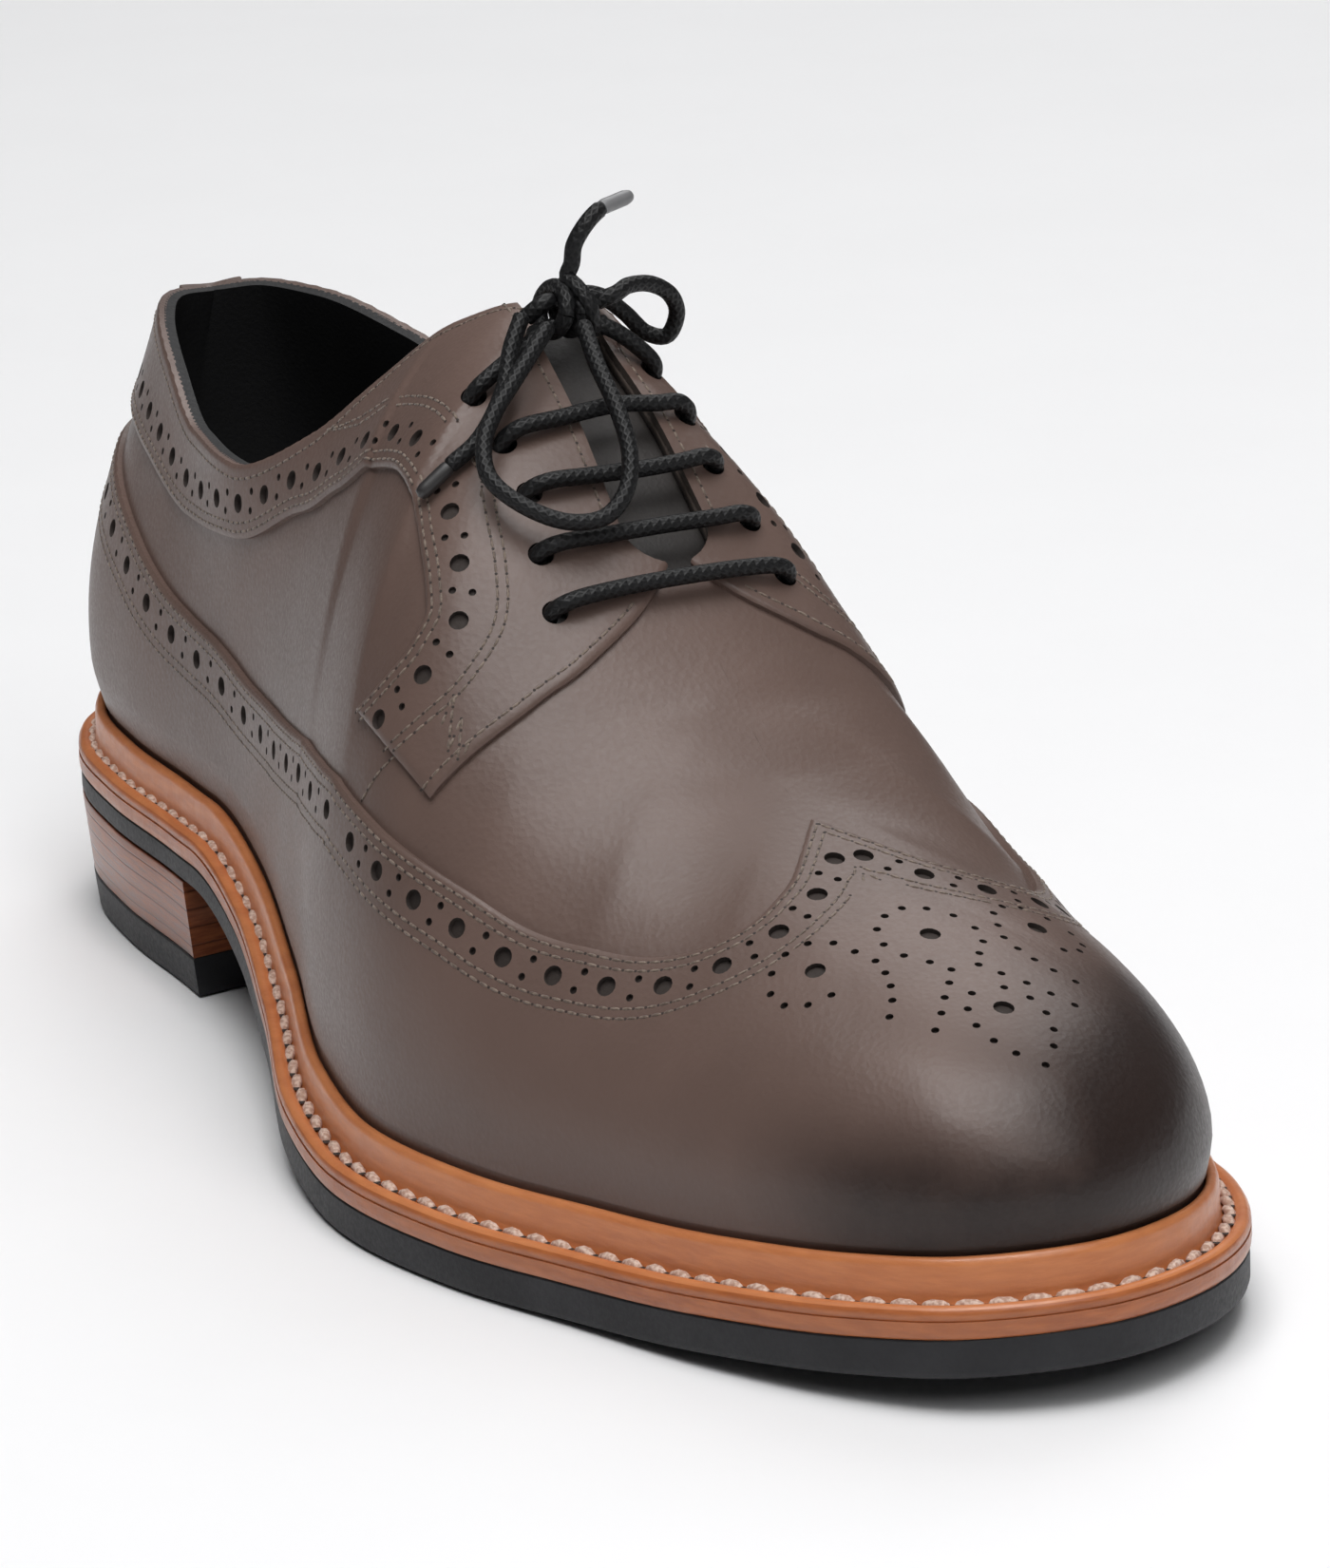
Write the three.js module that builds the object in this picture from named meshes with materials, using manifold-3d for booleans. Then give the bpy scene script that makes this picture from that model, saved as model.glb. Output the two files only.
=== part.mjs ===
// A longwing brogue, one right shoe, in millimetres.
// +X runs from the heel to the toe, +Y to the medial side, +Z up from the floor.
import * as THREE from 'three';
import { mergeVertices } from 'three/addons/utils/BufferGeometryUtils.js';
import Module from 'manifold-3d';

const wasm = await Module();
wasm.setup();

// Driving sizes
const LENGTH = 312;
const BALL_WIDTH = 112;
const INSTEP_HEIGHT = 124;
const HEEL_HEIGHT = 20;
const TOP_LIFT = 6.7;
const HEEL_LENGTH = 80;
const HEEL_TAPER = 2;
const BREAST_HOLLOW = 3;
const TOE_SPRING = 6;
const OUTSOLE = 6;
const MIDSOLE = 2.1;
const WELT = 2.2;
const WELT_WIDTH = 14;
const LIP_HEIGHT = 5.5;
const LIP_THICKNESS = 2;
const FEATHER_INSET = 6.5;
const INSOLE = 3;
const WALL = 1.8;
const OVERLAY = 1.2;
const OVERLAY_ROOT = 1.3;
const STRIP_WIDTH = 22;
const THROAT_GAP = 7;
const THROAT_FLARE = 7;
const EYELET = 4;
const EYELET_REACH = 14;
const LACE = 2.6;
const TONGUE = 2;
const TONGUE_WIDTH = 46;
const STUD_PIT = 19;
const STUD = 11.5;
const STUD_DEPTH = 1.6;
const LIFT_STUD_PIT = 14;
const LIFT_STUD = 8;
const WELT_FALL = 0.6;
const LIP_FLARE = 0.8;
const OVERLAY_FADE = 0.1;
const OVERLAY_SKIVE = 0.15;
const STRIP_STEP = 0.8;
const OVERLAY_FOOT = 0.012;
const LACE_PLAY = 0.3;
const LACE_TIP = 2.4;
const GAP = 0.3;
const LACE_HEIGHT = OVERLAY + GAP + LACE / 2 + LACE_PLAY;

// How finely the curved pieces are cut
const COLUMNS = 40;
const SECTION_STEPS = 8;
const PLATE_STEPS = 36;
const HEEL_STEPS = 14;
const PANEL_STEPS = 2;

// How the collar's line passes into the crest, as shares of one side's edge
const COLLAR_SIDEWAYS = 0.036;
const COLLAR_TO = 0.2;
const CREST_FROM = 0.45;
const SLOPE_FROM = 0.4;
const SLOPE_TO = 0.52;
const PROBE = 0.004;

// Ends of the throat and the tongue, as shares of the length, and the tongue's liner on the upper
const THROAT_TOP = 0.4;
const THROAT_END = 0.594;
const TONGUE_TOP = 0.47;
const TONGUE_END = 0.665;
const TONGUE_FROM = 0.44;
const TONGUE_TO = 0.78;
const TONGUE_LOW = 0.45;

const HALF = BALL_WIDTH / 2;
const LATERAL = -1;
const MEDIAL = 1;
const SIDES = [LATERAL, MEDIAL];
const UP = new THREE.Vector3(0, 0, 1);

// Outline of the sole: shares of the length and of half the ball width
const OUTLINE = [
  { along: 0.022, lateral: 0.375, medial: 0.365 },
  { along: 0.075, lateral: 0.56, medial: 0.57 },
  { along: 0.15, lateral: 0.635, medial: 0.64 },
  { along: 0.24, lateral: 0.655, medial: 0.59 },
  { along: 0.34, lateral: 0.705, medial: 0.49 },
  { along: 0.44, lateral: 0.85, medial: 0.47 },
  { along: 0.54, lateral: 1.03, medial: 0.62 },
  { along: 0.63, lateral: 1.085, medial: 0.8 },
  { along: 0.71, lateral: 1.01, medial: 0.935 },
  { along: 0.79, lateral: 0.85, medial: 0.94 },
  { along: 0.87, lateral: 0.685, medial: 0.865 },
  { along: 0.94, lateral: 0.475, medial: 0.675 },
  { along: 0.982, lateral: 0.255, medial: 0.42 },
];
const TOE_OFFSET = 0.1;

// Underside of the outsole: share of the length, share of the heel height, share of the toe spring
const TREAD = [
  { along: 0, heel: 1, spring: 0 },
  { along: 0.27, heel: 1, spring: 0 },
  { along: 0.35, heel: 0.72, spring: 0 },
  { along: 0.44, heel: 0.38, spring: 0 },
  { along: 0.54, heel: 0.11, spring: 0 },
  { along: 0.62, heel: 0, spring: 0 },
  { along: 0.72, heel: 0, spring: 0 },
  { along: 0.8, heel: 0, spring: 0.11 },
  { along: 0.9, heel: 0, spring: 0.48 },
  { along: 1, heel: 0, spring: 1 },
];

// Outsole's thickness: share of the length, share of its full thickness
const OUTSOLE_TAPER = [
  { along: 0, thick: 0.7 },
  { along: 0.24, thick: 0.7 },
  { along: 0.42, thick: 1 },
  { along: 1, thick: 1 },
];

// Distance of the upper's foot from the sole's edge: share of one side's edge from heel to toe
const FEATHER = [
  { run: 0, inset: 0.77 },
  { run: 0.35, inset: 0.77 },
  { run: 0.6, inset: 1 },
  { run: 1, inset: 1 },
];

// Crest of the instep and toe: shares of the length, half the ball width and the instep height
const CREST = [
  { along: 0.44, sideways: 0.02, rise: 1.032 },
  { along: 0.474, sideways: 0.016, rise: 1.002 },
  { along: 0.5, sideways: 0.012, rise: 0.966 },
  { along: 0.54, sideways: 0.01, rise: 0.907 },
  { along: 0.6, sideways: 0.01, rise: 0.778 },
  { along: 0.66, sideways: 0.012, rise: 0.641 },
  { along: 0.72, sideways: 0.018, rise: 0.536 },
  { along: 0.78, sideways: 0.035, rise: 0.48 },
  { along: 0.84, sideways: 0.062, rise: 0.44 },
  { along: 0.9, sideways: 0.08, rise: 0.403 },
];

// Sections of the upper, one for each share of a side's edge from heel to toe. Each runs from the
// foot of the upper to its top: along, spread and rise place the top, as shares of the length, half
// the ball width and the instep height. lean is the section's slope at the top in degrees, swell its
// bulge past the foot as a share of half the ball width, lower and upper the fullness of its ends.
const SECTIONS = [
  { run: 0, along: 0.03, spread: 0, rise: 0.806, lean: 76, swell: 0.09, lower: 0.4, upper: 0.35 },
  { run: 0.05, along: 0.042, spread: 0.145, rise: 0.812, lean: 75, swell: 0.095, lower: 0.41, upper: 0.35 },
  { run: 0.1, along: 0.078, spread: 0.26, rise: 0.808, lean: 75, swell: 0.095, lower: 0.41, upper: 0.35 },
  { run: 0.17, along: 0.143, spread: 0.38, rise: 0.778, lean: 77, swell: 0.078, lower: 0.41, upper: 0.35 },
  { run: 0.25, along: 0.217, spread: 0.48, rise: 0.736, lean: 81, swell: 0.057, lower: 0.4, upper: 0.35 },
  { run: 0.33, along: 0.29, spread: 0.535, rise: 0.738, lean: 78, swell: 0.041, lower: 0.42, upper: 0.35 },
  { run: 0.4, along: 0.368, spread: 0.455, rise: 0.815, lean: 62, swell: 0.036, lower: 0.45, upper: 0.38 },
  { run: 0.44, along: 0.41, spread: 0.35, rise: 0.899, lean: 45, swell: 0.036, lower: 0.48, upper: 0.43 },
  { run: 0.48, along: 0.445, spread: 0.19, rise: 0.98, lean: 24, swell: 0.036, lower: 0.53, upper: 0.5 },
  { run: 0.52, along: 0.468, spread: 0.06, rise: 1.005, lean: 8, swell: 0.036, lower: 0.58, upper: 0.56 },
  { run: 0.55, along: 0.48, spread: 0, rise: 1, lean: 0, swell: 0.036, lower: 0.61, upper: 0.6 },
  { run: 0.6, along: 0.54, spread: 0, rise: 1, lean: 0, swell: 0.036, lower: 0.6, upper: 0.62 },
  { run: 0.7, along: 0.635, spread: 0, rise: 1, lean: 0, swell: 0.03, lower: 0.47, upper: 0.6 },
  { run: 0.8, along: 0.72, spread: 0, rise: 1, lean: 0, swell: 0.04, lower: 0.54, upper: 0.61 },
  { run: 0.9, along: 0.79, spread: 0, rise: 1, lean: 0, swell: 0.064, lower: 0.63, upper: 0.6 },
  { run: 1, along: 0.84, spread: 0, rise: 1, lean: 0, swell: 0.071, lower: 0.65, upper: 0.59 },
];
const CREST_START = 0.55;

// Upper edge of the wing, which runs from the back strip to its point on the crest. top and up place
// it on the upper, as shares of the side's edge and of the section, and foot is where it grows from.
// Past the crest and the toe it laps a little over the other side.
const WING = [
  { foot: 0, top: 0, up: 0.68 },
  { foot: 0.06, top: 0.06, up: 0.65 },
  { foot: 0.12, top: 0.12, up: 0.6 },
  { foot: 0.2, top: 0.2, up: 0.525 },
  { foot: 0.28, top: 0.28, up: 0.462 },
  { foot: 0.36, top: 0.36, up: 0.41 },
  { foot: 0.41, top: 0.41, up: 0.37 },
  { foot: 0.44, top: 0.44, up: 0.334 },
  { foot: 0.47, top: 0.47, up: 0.3 },
  { foot: 0.5, top: 0.5, up: 0.282 },
  { foot: 0.54, top: 0.54, up: 0.274 },
  { foot: 0.6, top: 0.6, up: 0.3 },
  { foot: 0.66, top: 0.66, up: 0.362 },
  { foot: 0.71, top: 0.71, up: 0.415 },
  { foot: 0.75, top: 0.75, up: 0.475 },
  { foot: 0.785, top: 0.78, up: 0.555 },
  { foot: 0.815, top: 0.805, up: 0.65 },
  { foot: 0.845, top: 0.82, up: 0.75 },
  { foot: 0.875, top: 0.828, up: 0.86 },
  { foot: 0.905, top: 0.825, up: 1.02 },
  { foot: 0.935, top: 0.88, up: 1.02 },
  { foot: 0.965, top: 0.94, up: 1.02 },
  { foot: 1.01, top: 1.01, up: 1.02 },
];

// Collar band and facing, one raised piece: its outer edge and its inner edge, on the same shares
const FACING = [
  { outer: 0, outerUp: 1, inner: 0, innerUp: 0.74 },
  { outer: 0.1, outerUp: 1, inner: 0.1, innerUp: 0.735 },
  { outer: 0.2, outerUp: 1, inner: 0.2, innerUp: 0.745 },
  { outer: 0.28, outerUp: 1, inner: 0.28, innerUp: 0.76 },
  { outer: 0.35, outerUp: 1, inner: 0.345, innerUp: 0.805 },
  { outer: 0.4, outerUp: 1, inner: 0.385, innerUp: 0.825 },
  { outer: 0.44, outerUp: 1, inner: 0.425, innerUp: 0.78 },
  { outer: 0.49, outerUp: 1, inner: 0.465, innerUp: 0.7 },
  { outer: 0.53, outerUp: 1, inner: 0.5, innerUp: 0.655 },
  { outer: 0.57, outerUp: 1, inner: 0.535, innerUp: 0.625 },
  { outer: 0.61, outerUp: 1, inner: 0.56, innerUp: 0.605 },
  { outer: 0.64, outerUp: 1, inner: 0.58, innerUp: 0.575 },
  { outer: 0.664, outerUp: 1, inner: 0.588, innerUp: 0.545 },
  { outer: 0.673, outerUp: 0.9, inner: 0.586, innerUp: 0.5 },
  { outer: 0.667, outerUp: 0.76, inner: 0.578, innerUp: 0.445 },
  { outer: 0.655, outerUp: 0.64, inner: 0.568, innerUp: 0.4 },
  { outer: 0.625, outerUp: 0.4, inner: 0.557, innerUp: 0.363 },
];

// Eyelets of one side from the top down, and where the lace between them crosses the crest
const EYELETS = [
  { run: 0.55, up: 0.79, crossing: 0.572 },
  { run: 0.58, up: 0.803, crossing: 0.603 },
  { run: 0.601, up: 0.803, crossing: 0.632 },
  { run: 0.621, up: 0.775, crossing: 0.658 },
  { run: 0.641, up: 0.752, crossing: 0.682 },
];

// Bow of the lace: the knot, then points along each loop and end, in millimetres on a shoe of the
// sizes below, whose crest they keep to
const BOW_SHOE = { length: 312, ball: 112, instep: 124 };
const KNOT = { at: [156, -1, 126.3], radii: [6, 7, 4.6] };
const LEAD_ENDS = [
  { side: LATERAL, at: [159.3, -7.6, 122.8] },
  { side: MEDIAL, at: [159.3, 5.6, 122.8] },
];
const LOOP_LATERAL = [
  [162, -6.5, 125], [163.9, -8.2, 124.5], [168.1, -14.7, 119.8], [171.5, -20.3, 115.4],
  [174.9, -23.5, 112], [179.5, -24.8, 108.3], [184.9, -22, 104.9], [188.8, -16.6, 102.5],
  [189.7, -11, 102.6], [188.1, -6.7, 105.3], [184.5, -4, 109.8], [178.8, -3, 115.3],
  [171.2, -2.6, 120.8], [163.8, -1.2, 125.2],
];
const LOOP_MEDIAL = [
  [158, 7.2, 127.8], [156.4, 10, 128.4], [155, 14.5, 127.8], [154, 18.3, 125.4], [153, 19.8, 122],
  [152, 18.4, 118.5], [150.4, 15.8, 119], [149.6, 12.6, 122.4], [150, 8.6, 125.6], [150.4, 5.6, 126.6],
];
const END_UPPER = [
  [156.8, -0.3, 131.3], [157, 0.4, 133.2], [157, 0.9, 136], [157, 3.1, 139.1], [156, 6, 140.8],
];
const END_LOWER = [
  [159, -9.2, 126.6], [162, -12.6, 122.6], [165.5, -15.6, 117.6], [169.1, -21.7, 111.5],
  [169.5, -26.5, 108.4],
];
const TIP_UPPER = [[155.9, 6.4, 140.9], [154, 12, 141.7]];
const TIP_LOWER = [[169.5, -26.9, 108.2], [169.3, -31.8, 104.4]];

// Studs under the forepart: shares of the length and of half the ball width
const STUDS = [
  { along: 0.61, across: -0.58 },
  { along: 0.7, across: -0.52 },
  { along: 0.775, across: -0.44 },
  { along: 0.84, across: -0.34 },
  { along: 0.64, across: -0.02 },
  { along: 0.725, across: 0.04 },
  { along: 0.8, across: 0.06 },
  { along: 0.62, across: 0.36 },
  { along: 0.71, across: 0.55 },
  { along: 0.78, across: 0.56 },
  { along: 0.845, across: 0.42 },
  { along: 0.905, across: 0.1 },
];

// Studs under the heel: shares of the heel's length and of half the ball width
const LIFT_STUDS = [
  { along: 0.4, across: 0.05 },
  { along: 0.72, across: -0.28 },
  { along: 0.72, across: 0.3 },
];

// Smooth curve through a table's rows that never overshoots them
function along(table, key, column, at) {
  const n = table.length;
  let i = 0;
  while (i < n - 2 && at > table[i + 1][key]) {
    i += 1;
  }
  const step = (k) => table[k + 1][key] - table[k][key];
  const slope = (k) => (table[k + 1][column] - table[k][column]) / step(k);
  const tangent = (k) => {
    if (k === 0) {
      return slope(0);
    }
    if (k === n - 1) {
      return slope(n - 2);
    }
    const a = slope(k - 1);
    const b = slope(k);
    if (a * b <= 0) {
      return 0;
    }
    const p = 2 * step(k) + step(k - 1);
    const q = step(k) + 2 * step(k - 1);
    return (p + q) / (p / a + q / b);
  };
  const width = step(i);
  const t = Math.min(Math.max((at - table[i][key]) / width, 0), 1);
  const a = table[i][column];
  const b = table[i + 1][column];
  const first = tangent(i) * width;
  const last = tangent(i + 1) * width;
  const cube = 2 * (a - b) + first + last;
  const square = 3 * (b - a) - 2 * first - last;
  return ((cube * t + square) * t + first) * t + a;
}

// Sole's edge as two dense runs from the heel to the toe, with the direction that leads inwards
function soleEdges() {
  const points = [new THREE.Vector3(0, 0, 0)];
  OUTLINE.forEach((row) => {
    points.push(new THREE.Vector3(row.along * LENGTH, -row.lateral * HALF, 0));
  });
  points.push(new THREE.Vector3(LENGTH, TOE_OFFSET * HALF, 0));
  [...OUTLINE].reverse().forEach((row) => {
    points.push(new THREE.Vector3(row.along * LENGTH, row.medial * HALF, 0));
  });
  const dense = new THREE.CatmullRomCurve3(points, true, 'centripetal').getPoints(1600);
  dense.pop();
  const count = dense.length;
  const rows = dense.map((p, i) => {
    const ahead = dense[(i + 1) % count];
    const behind = dense[(i + count - 1) % count];
    const tangent = ahead.clone().sub(behind).normalize();
    return { p, inward: new THREE.Vector3(-tangent.y, tangent.x, 0) };
  });
  let tip = 0;
  rows.forEach((row, i) => {
    tip = row.p.x > rows[tip].p.x ? i : tip;
  });
  const lateral = rows.slice(0, tip + 1);
  const medial = [rows[0], ...rows.slice(tip).reverse()];
  return [lateral, medial].map((run) => {
    let length = 0;
    const shares = run.map((row, i) => {
      length += i ? row.p.distanceTo(run[i - 1].p) : 0;
      return length;
    });
    return { run, length, shares: shares.map((s) => s / length) };
  });
}
const EDGES = soleEdges();
const EDGE_RUN = EDGES[0].length;

// Point of the sole's edge at a share of one side's run, moved inwards
function edge(side, share, inset) {
  const { run, shares } = EDGES[side === LATERAL ? 0 : 1];
  let i = 0;
  let j = shares.length - 1;
  while (j - i > 1) {
    const middle = (i + j) >> 1;
    if (shares[middle] <= share) {
      i = middle;
    } else {
      j = middle;
    }
  }
  const t = (share - shares[i]) / (shares[j] - shares[i]);
  const p = run[i].p.clone().lerp(run[j].p, t);
  const inward = run[i].inward.clone().lerp(run[j].inward, t).normalize();
  return p.addScaledVector(inward, inset);
}

// Heights of the sole's layers at a distance from the heel
function tread(x) {
  const at = Math.min(Math.max(x / LENGTH, 0), 1);
  return along(TREAD, 'along', 'heel', at) * HEEL_HEIGHT + along(TREAD, 'along', 'spring', at) * TOE_SPRING;
}
function outsoleTop(x) {
  const at = Math.min(Math.max(x / LENGTH, 0), 1);
  return tread(x) + along(OUTSOLE_TAPER, 'along', 'thick', at) * OUTSOLE;
}
const midsoleBottom = (x) => outsoleTop(x) + GAP;
const midsoleTop = (x) => midsoleBottom(x) + MIDSOLE;
const weltBottom = (x) => midsoleTop(x) + GAP;
const weltTop = (x) => weltBottom(x) + WELT;
const featherInset = (share) => along(FEATHER, 'run', 'inset', share) * FEATHER_INSET;

// Foot of the upper, where it comes out of the welt's lip
function foot(side, share) {
  const p = edge(side, share, featherInset(share));
  p.z = weltTop(edge(side, share, 0).x) + LIP_HEIGHT;
  return p;
}

// Crest's height and sideways place
function crest(x) {
  const at = x / LENGTH;
  return {
    y: along(CREST, 'along', 'sideways', at) * HALF,
    z: along(CREST, 'along', 'rise', at) * INSTEP_HEIGHT,
  };
}

// Point of the upper at a share of one side's edge and a share up its section. Past the heel, the
// toe or the crest the upper goes on over the other side.
function surface(side, share, up) {
  if (share < 0) {
    return surface(-side, -share, up);
  }
  if (share > 1) {
    return surface(-side, 2 - share, up);
  }
  if (up > 1 && share >= CREST_START) {
    return surface(-side, share, 2 - up);
  }
  const value = (column) => along(SECTIONS, 'run', column, share);
  const bottom = foot(side, share);
  const x = value('along') * LENGTH;
  const ridge = crest(x);
  const blend = THREE.MathUtils.clamp((share - COLLAR_TO) / (CREST_FROM - COLLAR_TO), 0, 1);
  const onCrest = share >= CREST_START;
  const collarY = COLLAR_SIDEWAYS * HALF;
  const top = new THREE.Vector3(
    x,
    collarY + (ridge.y - collarY) * blend + side * value('spread') * HALF,
    onCrest ? ridge.z : value('rise') * INSTEP_HEIGHT,
  );
  const across = new THREE.Vector3(top.x - bottom.x, top.y - bottom.y, 0);
  const reach = across.length();
  across.normalize();
  const rise = top.z - bottom.z;
  const lean = THREE.MathUtils.degToRad(value('lean'));
  const fall = (crest(x + 0.5).z - crest(x - 0.5).z) * across.x;
  const sloping = THREE.MathUtils.clamp((share - SLOPE_FROM) / (SLOPE_TO - SLOPE_FROM), 0, 1);
  const slope = lean + Math.atan(fall * sloping);
  const arm = value('upper') * (reach * Math.cos(lean) ** 2 + rise * Math.sin(lean) ** 2);
  const low = bottom.clone()
    .addScaledVector(across, -value('swell') * HALF)
    .addScaledVector(UP, value('lower') * rise);
  const high = top.clone()
    .addScaledVector(across, -Math.cos(slope) * arm)
    .addScaledVector(UP, -Math.sin(slope) * arm);
  const section = new THREE.CubicBezierCurve3(bottom, low, high, top);
  return section.getPoint(Math.min(Math.max(up, 0), 1));
}

// Direction that leads out of the upper
function outward(side, share, up) {
  if (share < 0 || share > 1) {
    return outward(-side, share < 0 ? -share : 2 - share, up);
  }
  if (share >= CREST_START && Math.abs(up - 1) < 0.001) {
    const x = surface(side, share, 1).x;
    return new THREE.Vector3(crest(x - 0.5).z - crest(x + 0.5).z, 0, 1).normalize();
  }
  if (share >= CREST_START && up > 1) {
    return outward(-side, share, 2 - up);
  }
  const around = surface(side, share + PROBE, up).sub(surface(side, share - PROBE, up));
  const above = surface(side, share, Math.min(up + 5 * PROBE, 1));
  const below = surface(side, share, Math.max(up - 5 * PROBE, 0));
  const upwards = above.sub(below);
  return around.cross(upwards).normalize().multiplyScalar(-side);
}
const raised = (side, share, up, height) =>
  surface(side, share, up).addScaledVector(outward(side, share, up), height);

// Geometry from a list of corners and a list of triangles
function geometry(points, triangles) {
  const numbers = points.flatMap((p) => [p.x, p.y, p.z]);
  const result = new THREE.BufferGeometry();
  result.setAttribute('position', new THREE.Float32BufferAttribute(numbers, 3));
  result.setIndex(triangles);
  return result;
}

// Solid from a closed surface, with its faces out
function body(shape) {
  const plain = shape.clone();
  plain.deleteAttribute('normal');
  plain.deleteAttribute('uv');
  const merged = mergeVertices(plain, 1e-4);
  const index = [...merged.index.array];
  const corner = (i) => new THREE.Vector3().fromBufferAttribute(merged.attributes.position, i);
  const kept = [];
  let volume = 0;
  for (let i = 0; i < index.length; i += 3) {
    const [a, b, c] = index.slice(i, i + 3);
    if (a !== b && b !== c && c !== a) {
      kept.push([a, b, c]);
      volume += corner(a).cross(corner(b)).dot(corner(c));
    }
  }
  const triangles = kept.map(([a, b, c]) => (volume < 0 ? [a, c, b] : [a, b, c])).flat();
  const mesh = new wasm.Mesh({
    numProp: 3,
    vertProperties: new Float32Array(merged.attributes.position.array),
    triVerts: new Uint32Array(triangles),
  });
  return new wasm.Manifold(mesh);
}

// Shares of one side from the heel to the toe, and both sides as one round
const steps = (count) => Array.from({ length: count + 1 }, (_, i) => i / count);
function round(count) {
  const lateral = steps(count).map((share) => ({ side: LATERAL, share }));
  const medial = steps(count).slice(1, -1).reverse().map((share) => ({ side: MEDIAL, share }));
  return [...lateral, ...medial];
}

// Solid from four-cornered faces, with its faces out
function fromQuads(quads) {
  const points = quads.flat();
  const triangles = quads.flatMap((_, i) => [4 * i, 4 * i + 1, 4 * i + 2, 4 * i, 4 * i + 2, 4 * i + 3]);
  return body(geometry(points, triangles));
}

// Faces between neighbouring lines of a grid
function cells(lines) {
  const quads = [];
  for (let i = 0; i < lines.length - 1; i += 1) {
    for (let j = 0; j < lines[i].length - 1; j += 1) {
      quads.push([lines[i][j], lines[i + 1][j], lines[i + 1][j + 1], lines[i][j + 1]]);
    }
  }
  return quads;
}
const reversed = (quads) => quads.map((quad) => [...quad].reverse());

// Closed sheet between an upper and a lower grid of points
function sheet(top, bottom) {
  const column = (lines, j) => lines.map((line) => line[j]);
  const last = top[0].length - 1;
  const end = top.length - 1;
  return fromQuads([
    ...cells(top),
    ...reversed(cells(bottom)),
    ...reversed(cells([column(bottom, 0), column(top, 0)])),
    ...cells([column(bottom, last), column(top, last)]),
    ...cells([bottom[0], top[0]]),
    ...reversed(cells([bottom[end], top[end]])),
  ]);
}

// Plate under the foot, between two heights and two insets from the sole's edge
function plate(low, high, lowInset, highInset) {
  const line = (height, inset) => steps(PLATE_STEPS).map((share) =>
    SIDES.map((side) => {
      const p = edge(side, share, inset(share));
      p.z = height(p.x);
      return p;
    }));
  return sheet(line(high, highInset), line(low, lowInset));
}
const flush = () => 0;

// Ring-shaped pit around a stud, open at the tread
function pit(x, y, z, width, stud) {
  const profile = [
    new THREE.Vector2(stud / 2, -STUD_DEPTH),
    new THREE.Vector2(width / 2, -STUD_DEPTH),
    new THREE.Vector2(width / 2, STUD_DEPTH),
    new THREE.Vector2(stud / 2, STUD_DEPTH),
    new THREE.Vector2(stud / 2, -STUD_DEPTH),
  ];
  const ring = new THREE.LatheGeometry(profile, 12).rotateX(Math.PI / 2);
  return body(ring.translate(x, y, z));
}

function outsole() {
  let result = plate(tread, outsoleTop, flush, flush);
  STUDS.forEach((row) => {
    const x = row.along * LENGTH;
    result = result.subtract(pit(x, row.across * HALF, tread(x), STUD_PIT, STUD));
  });
  return result;
}

// Level block of the heel between two heights, with its breast hollowed across
function heelBlock(low, high) {
  const share = (side, inset) => {
    const behind = steps(400).filter((s) => s < 0.6 && edge(side, s, inset).x < HEEL_LENGTH);
    return behind[behind.length - 1];
  };
  const ring = (z) => {
    const inset = HEEL_TAPER * (1 - z / HEEL_HEIGHT);
    const shares = steps(HEEL_STEPS);
    const lateral = shares.map((s) => edge(LATERAL, s * share(LATERAL, inset), inset));
    const medial = shares.slice(1).reverse().map((s) => edge(MEDIAL, s * share(MEDIAL, inset), inset));
    const a = lateral[lateral.length - 1];
    const b = medial[0];
    const breast = [0.2, 0.4, 0.6, 0.8].map((t) => {
      const p = a.clone().lerp(b, t);
      p.x -= BREAST_HOLLOW * 4 * t * (1 - t);
      return p;
    });
    return [...lateral, ...breast, ...medial].map((p) => new THREE.Vector3(p.x, p.y, z));
  };
  const bottom = ring(low);
  const top = ring(high);
  const flat = bottom.map((p) => new THREE.Vector2(p.x, p.y));
  const faces = THREE.ShapeUtils.triangulateShape(flat, []);
  const count = bottom.length;
  const walls = bottom.flatMap((_, i) => {
    const j = (i + 1) % count;
    return [i, j, count + j, i, count + j, count + i];
  });
  const caps = faces.flatMap(([a, b, c]) => [a, c, b, count + a, count + b, count + c]);
  return body(geometry([...bottom, ...top], [...walls, ...caps]));
}

function topLift() {
  let result = heelBlock(0, TOP_LIFT);
  LIFT_STUDS.forEach((row) => {
    result = result.subtract(pit(row.along * HEEL_LENGTH, row.across * HALF, 0, LIFT_STUD_PIT, LIFT_STUD));
  });
  return result;
}

// Welt all round the shoe, with a raised lip that the upper comes out of
function welt() {
  const section = ({ side, share }) => {
    const inner = featherInset(share) - GAP;
    const outer = inner - LIP_THICKNESS;
    const lip = foot(side, share).z;
    const at = (inset, height) => {
      const p = edge(side, share, inset);
      p.z = height(p.x);
      return p;
    };
    return [
      at(0, weltBottom),
      at(0, (x) => weltTop(x) - WELT_FALL),
      at(outer - LIP_FLARE, weltTop),
      at(outer, () => lip),
      at(inner, () => lip),
      at(inner, weltTop),
      at(WELT_WIDTH, weltTop),
      at(WELT_WIDTH, weltBottom),
    ];
  };
  const around = round(COLUMNS).map(section);
  const lines = [...around, around[0]].map((line) => [...line, line[0]]);
  return fromQuads(cells(lines));
}

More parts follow.
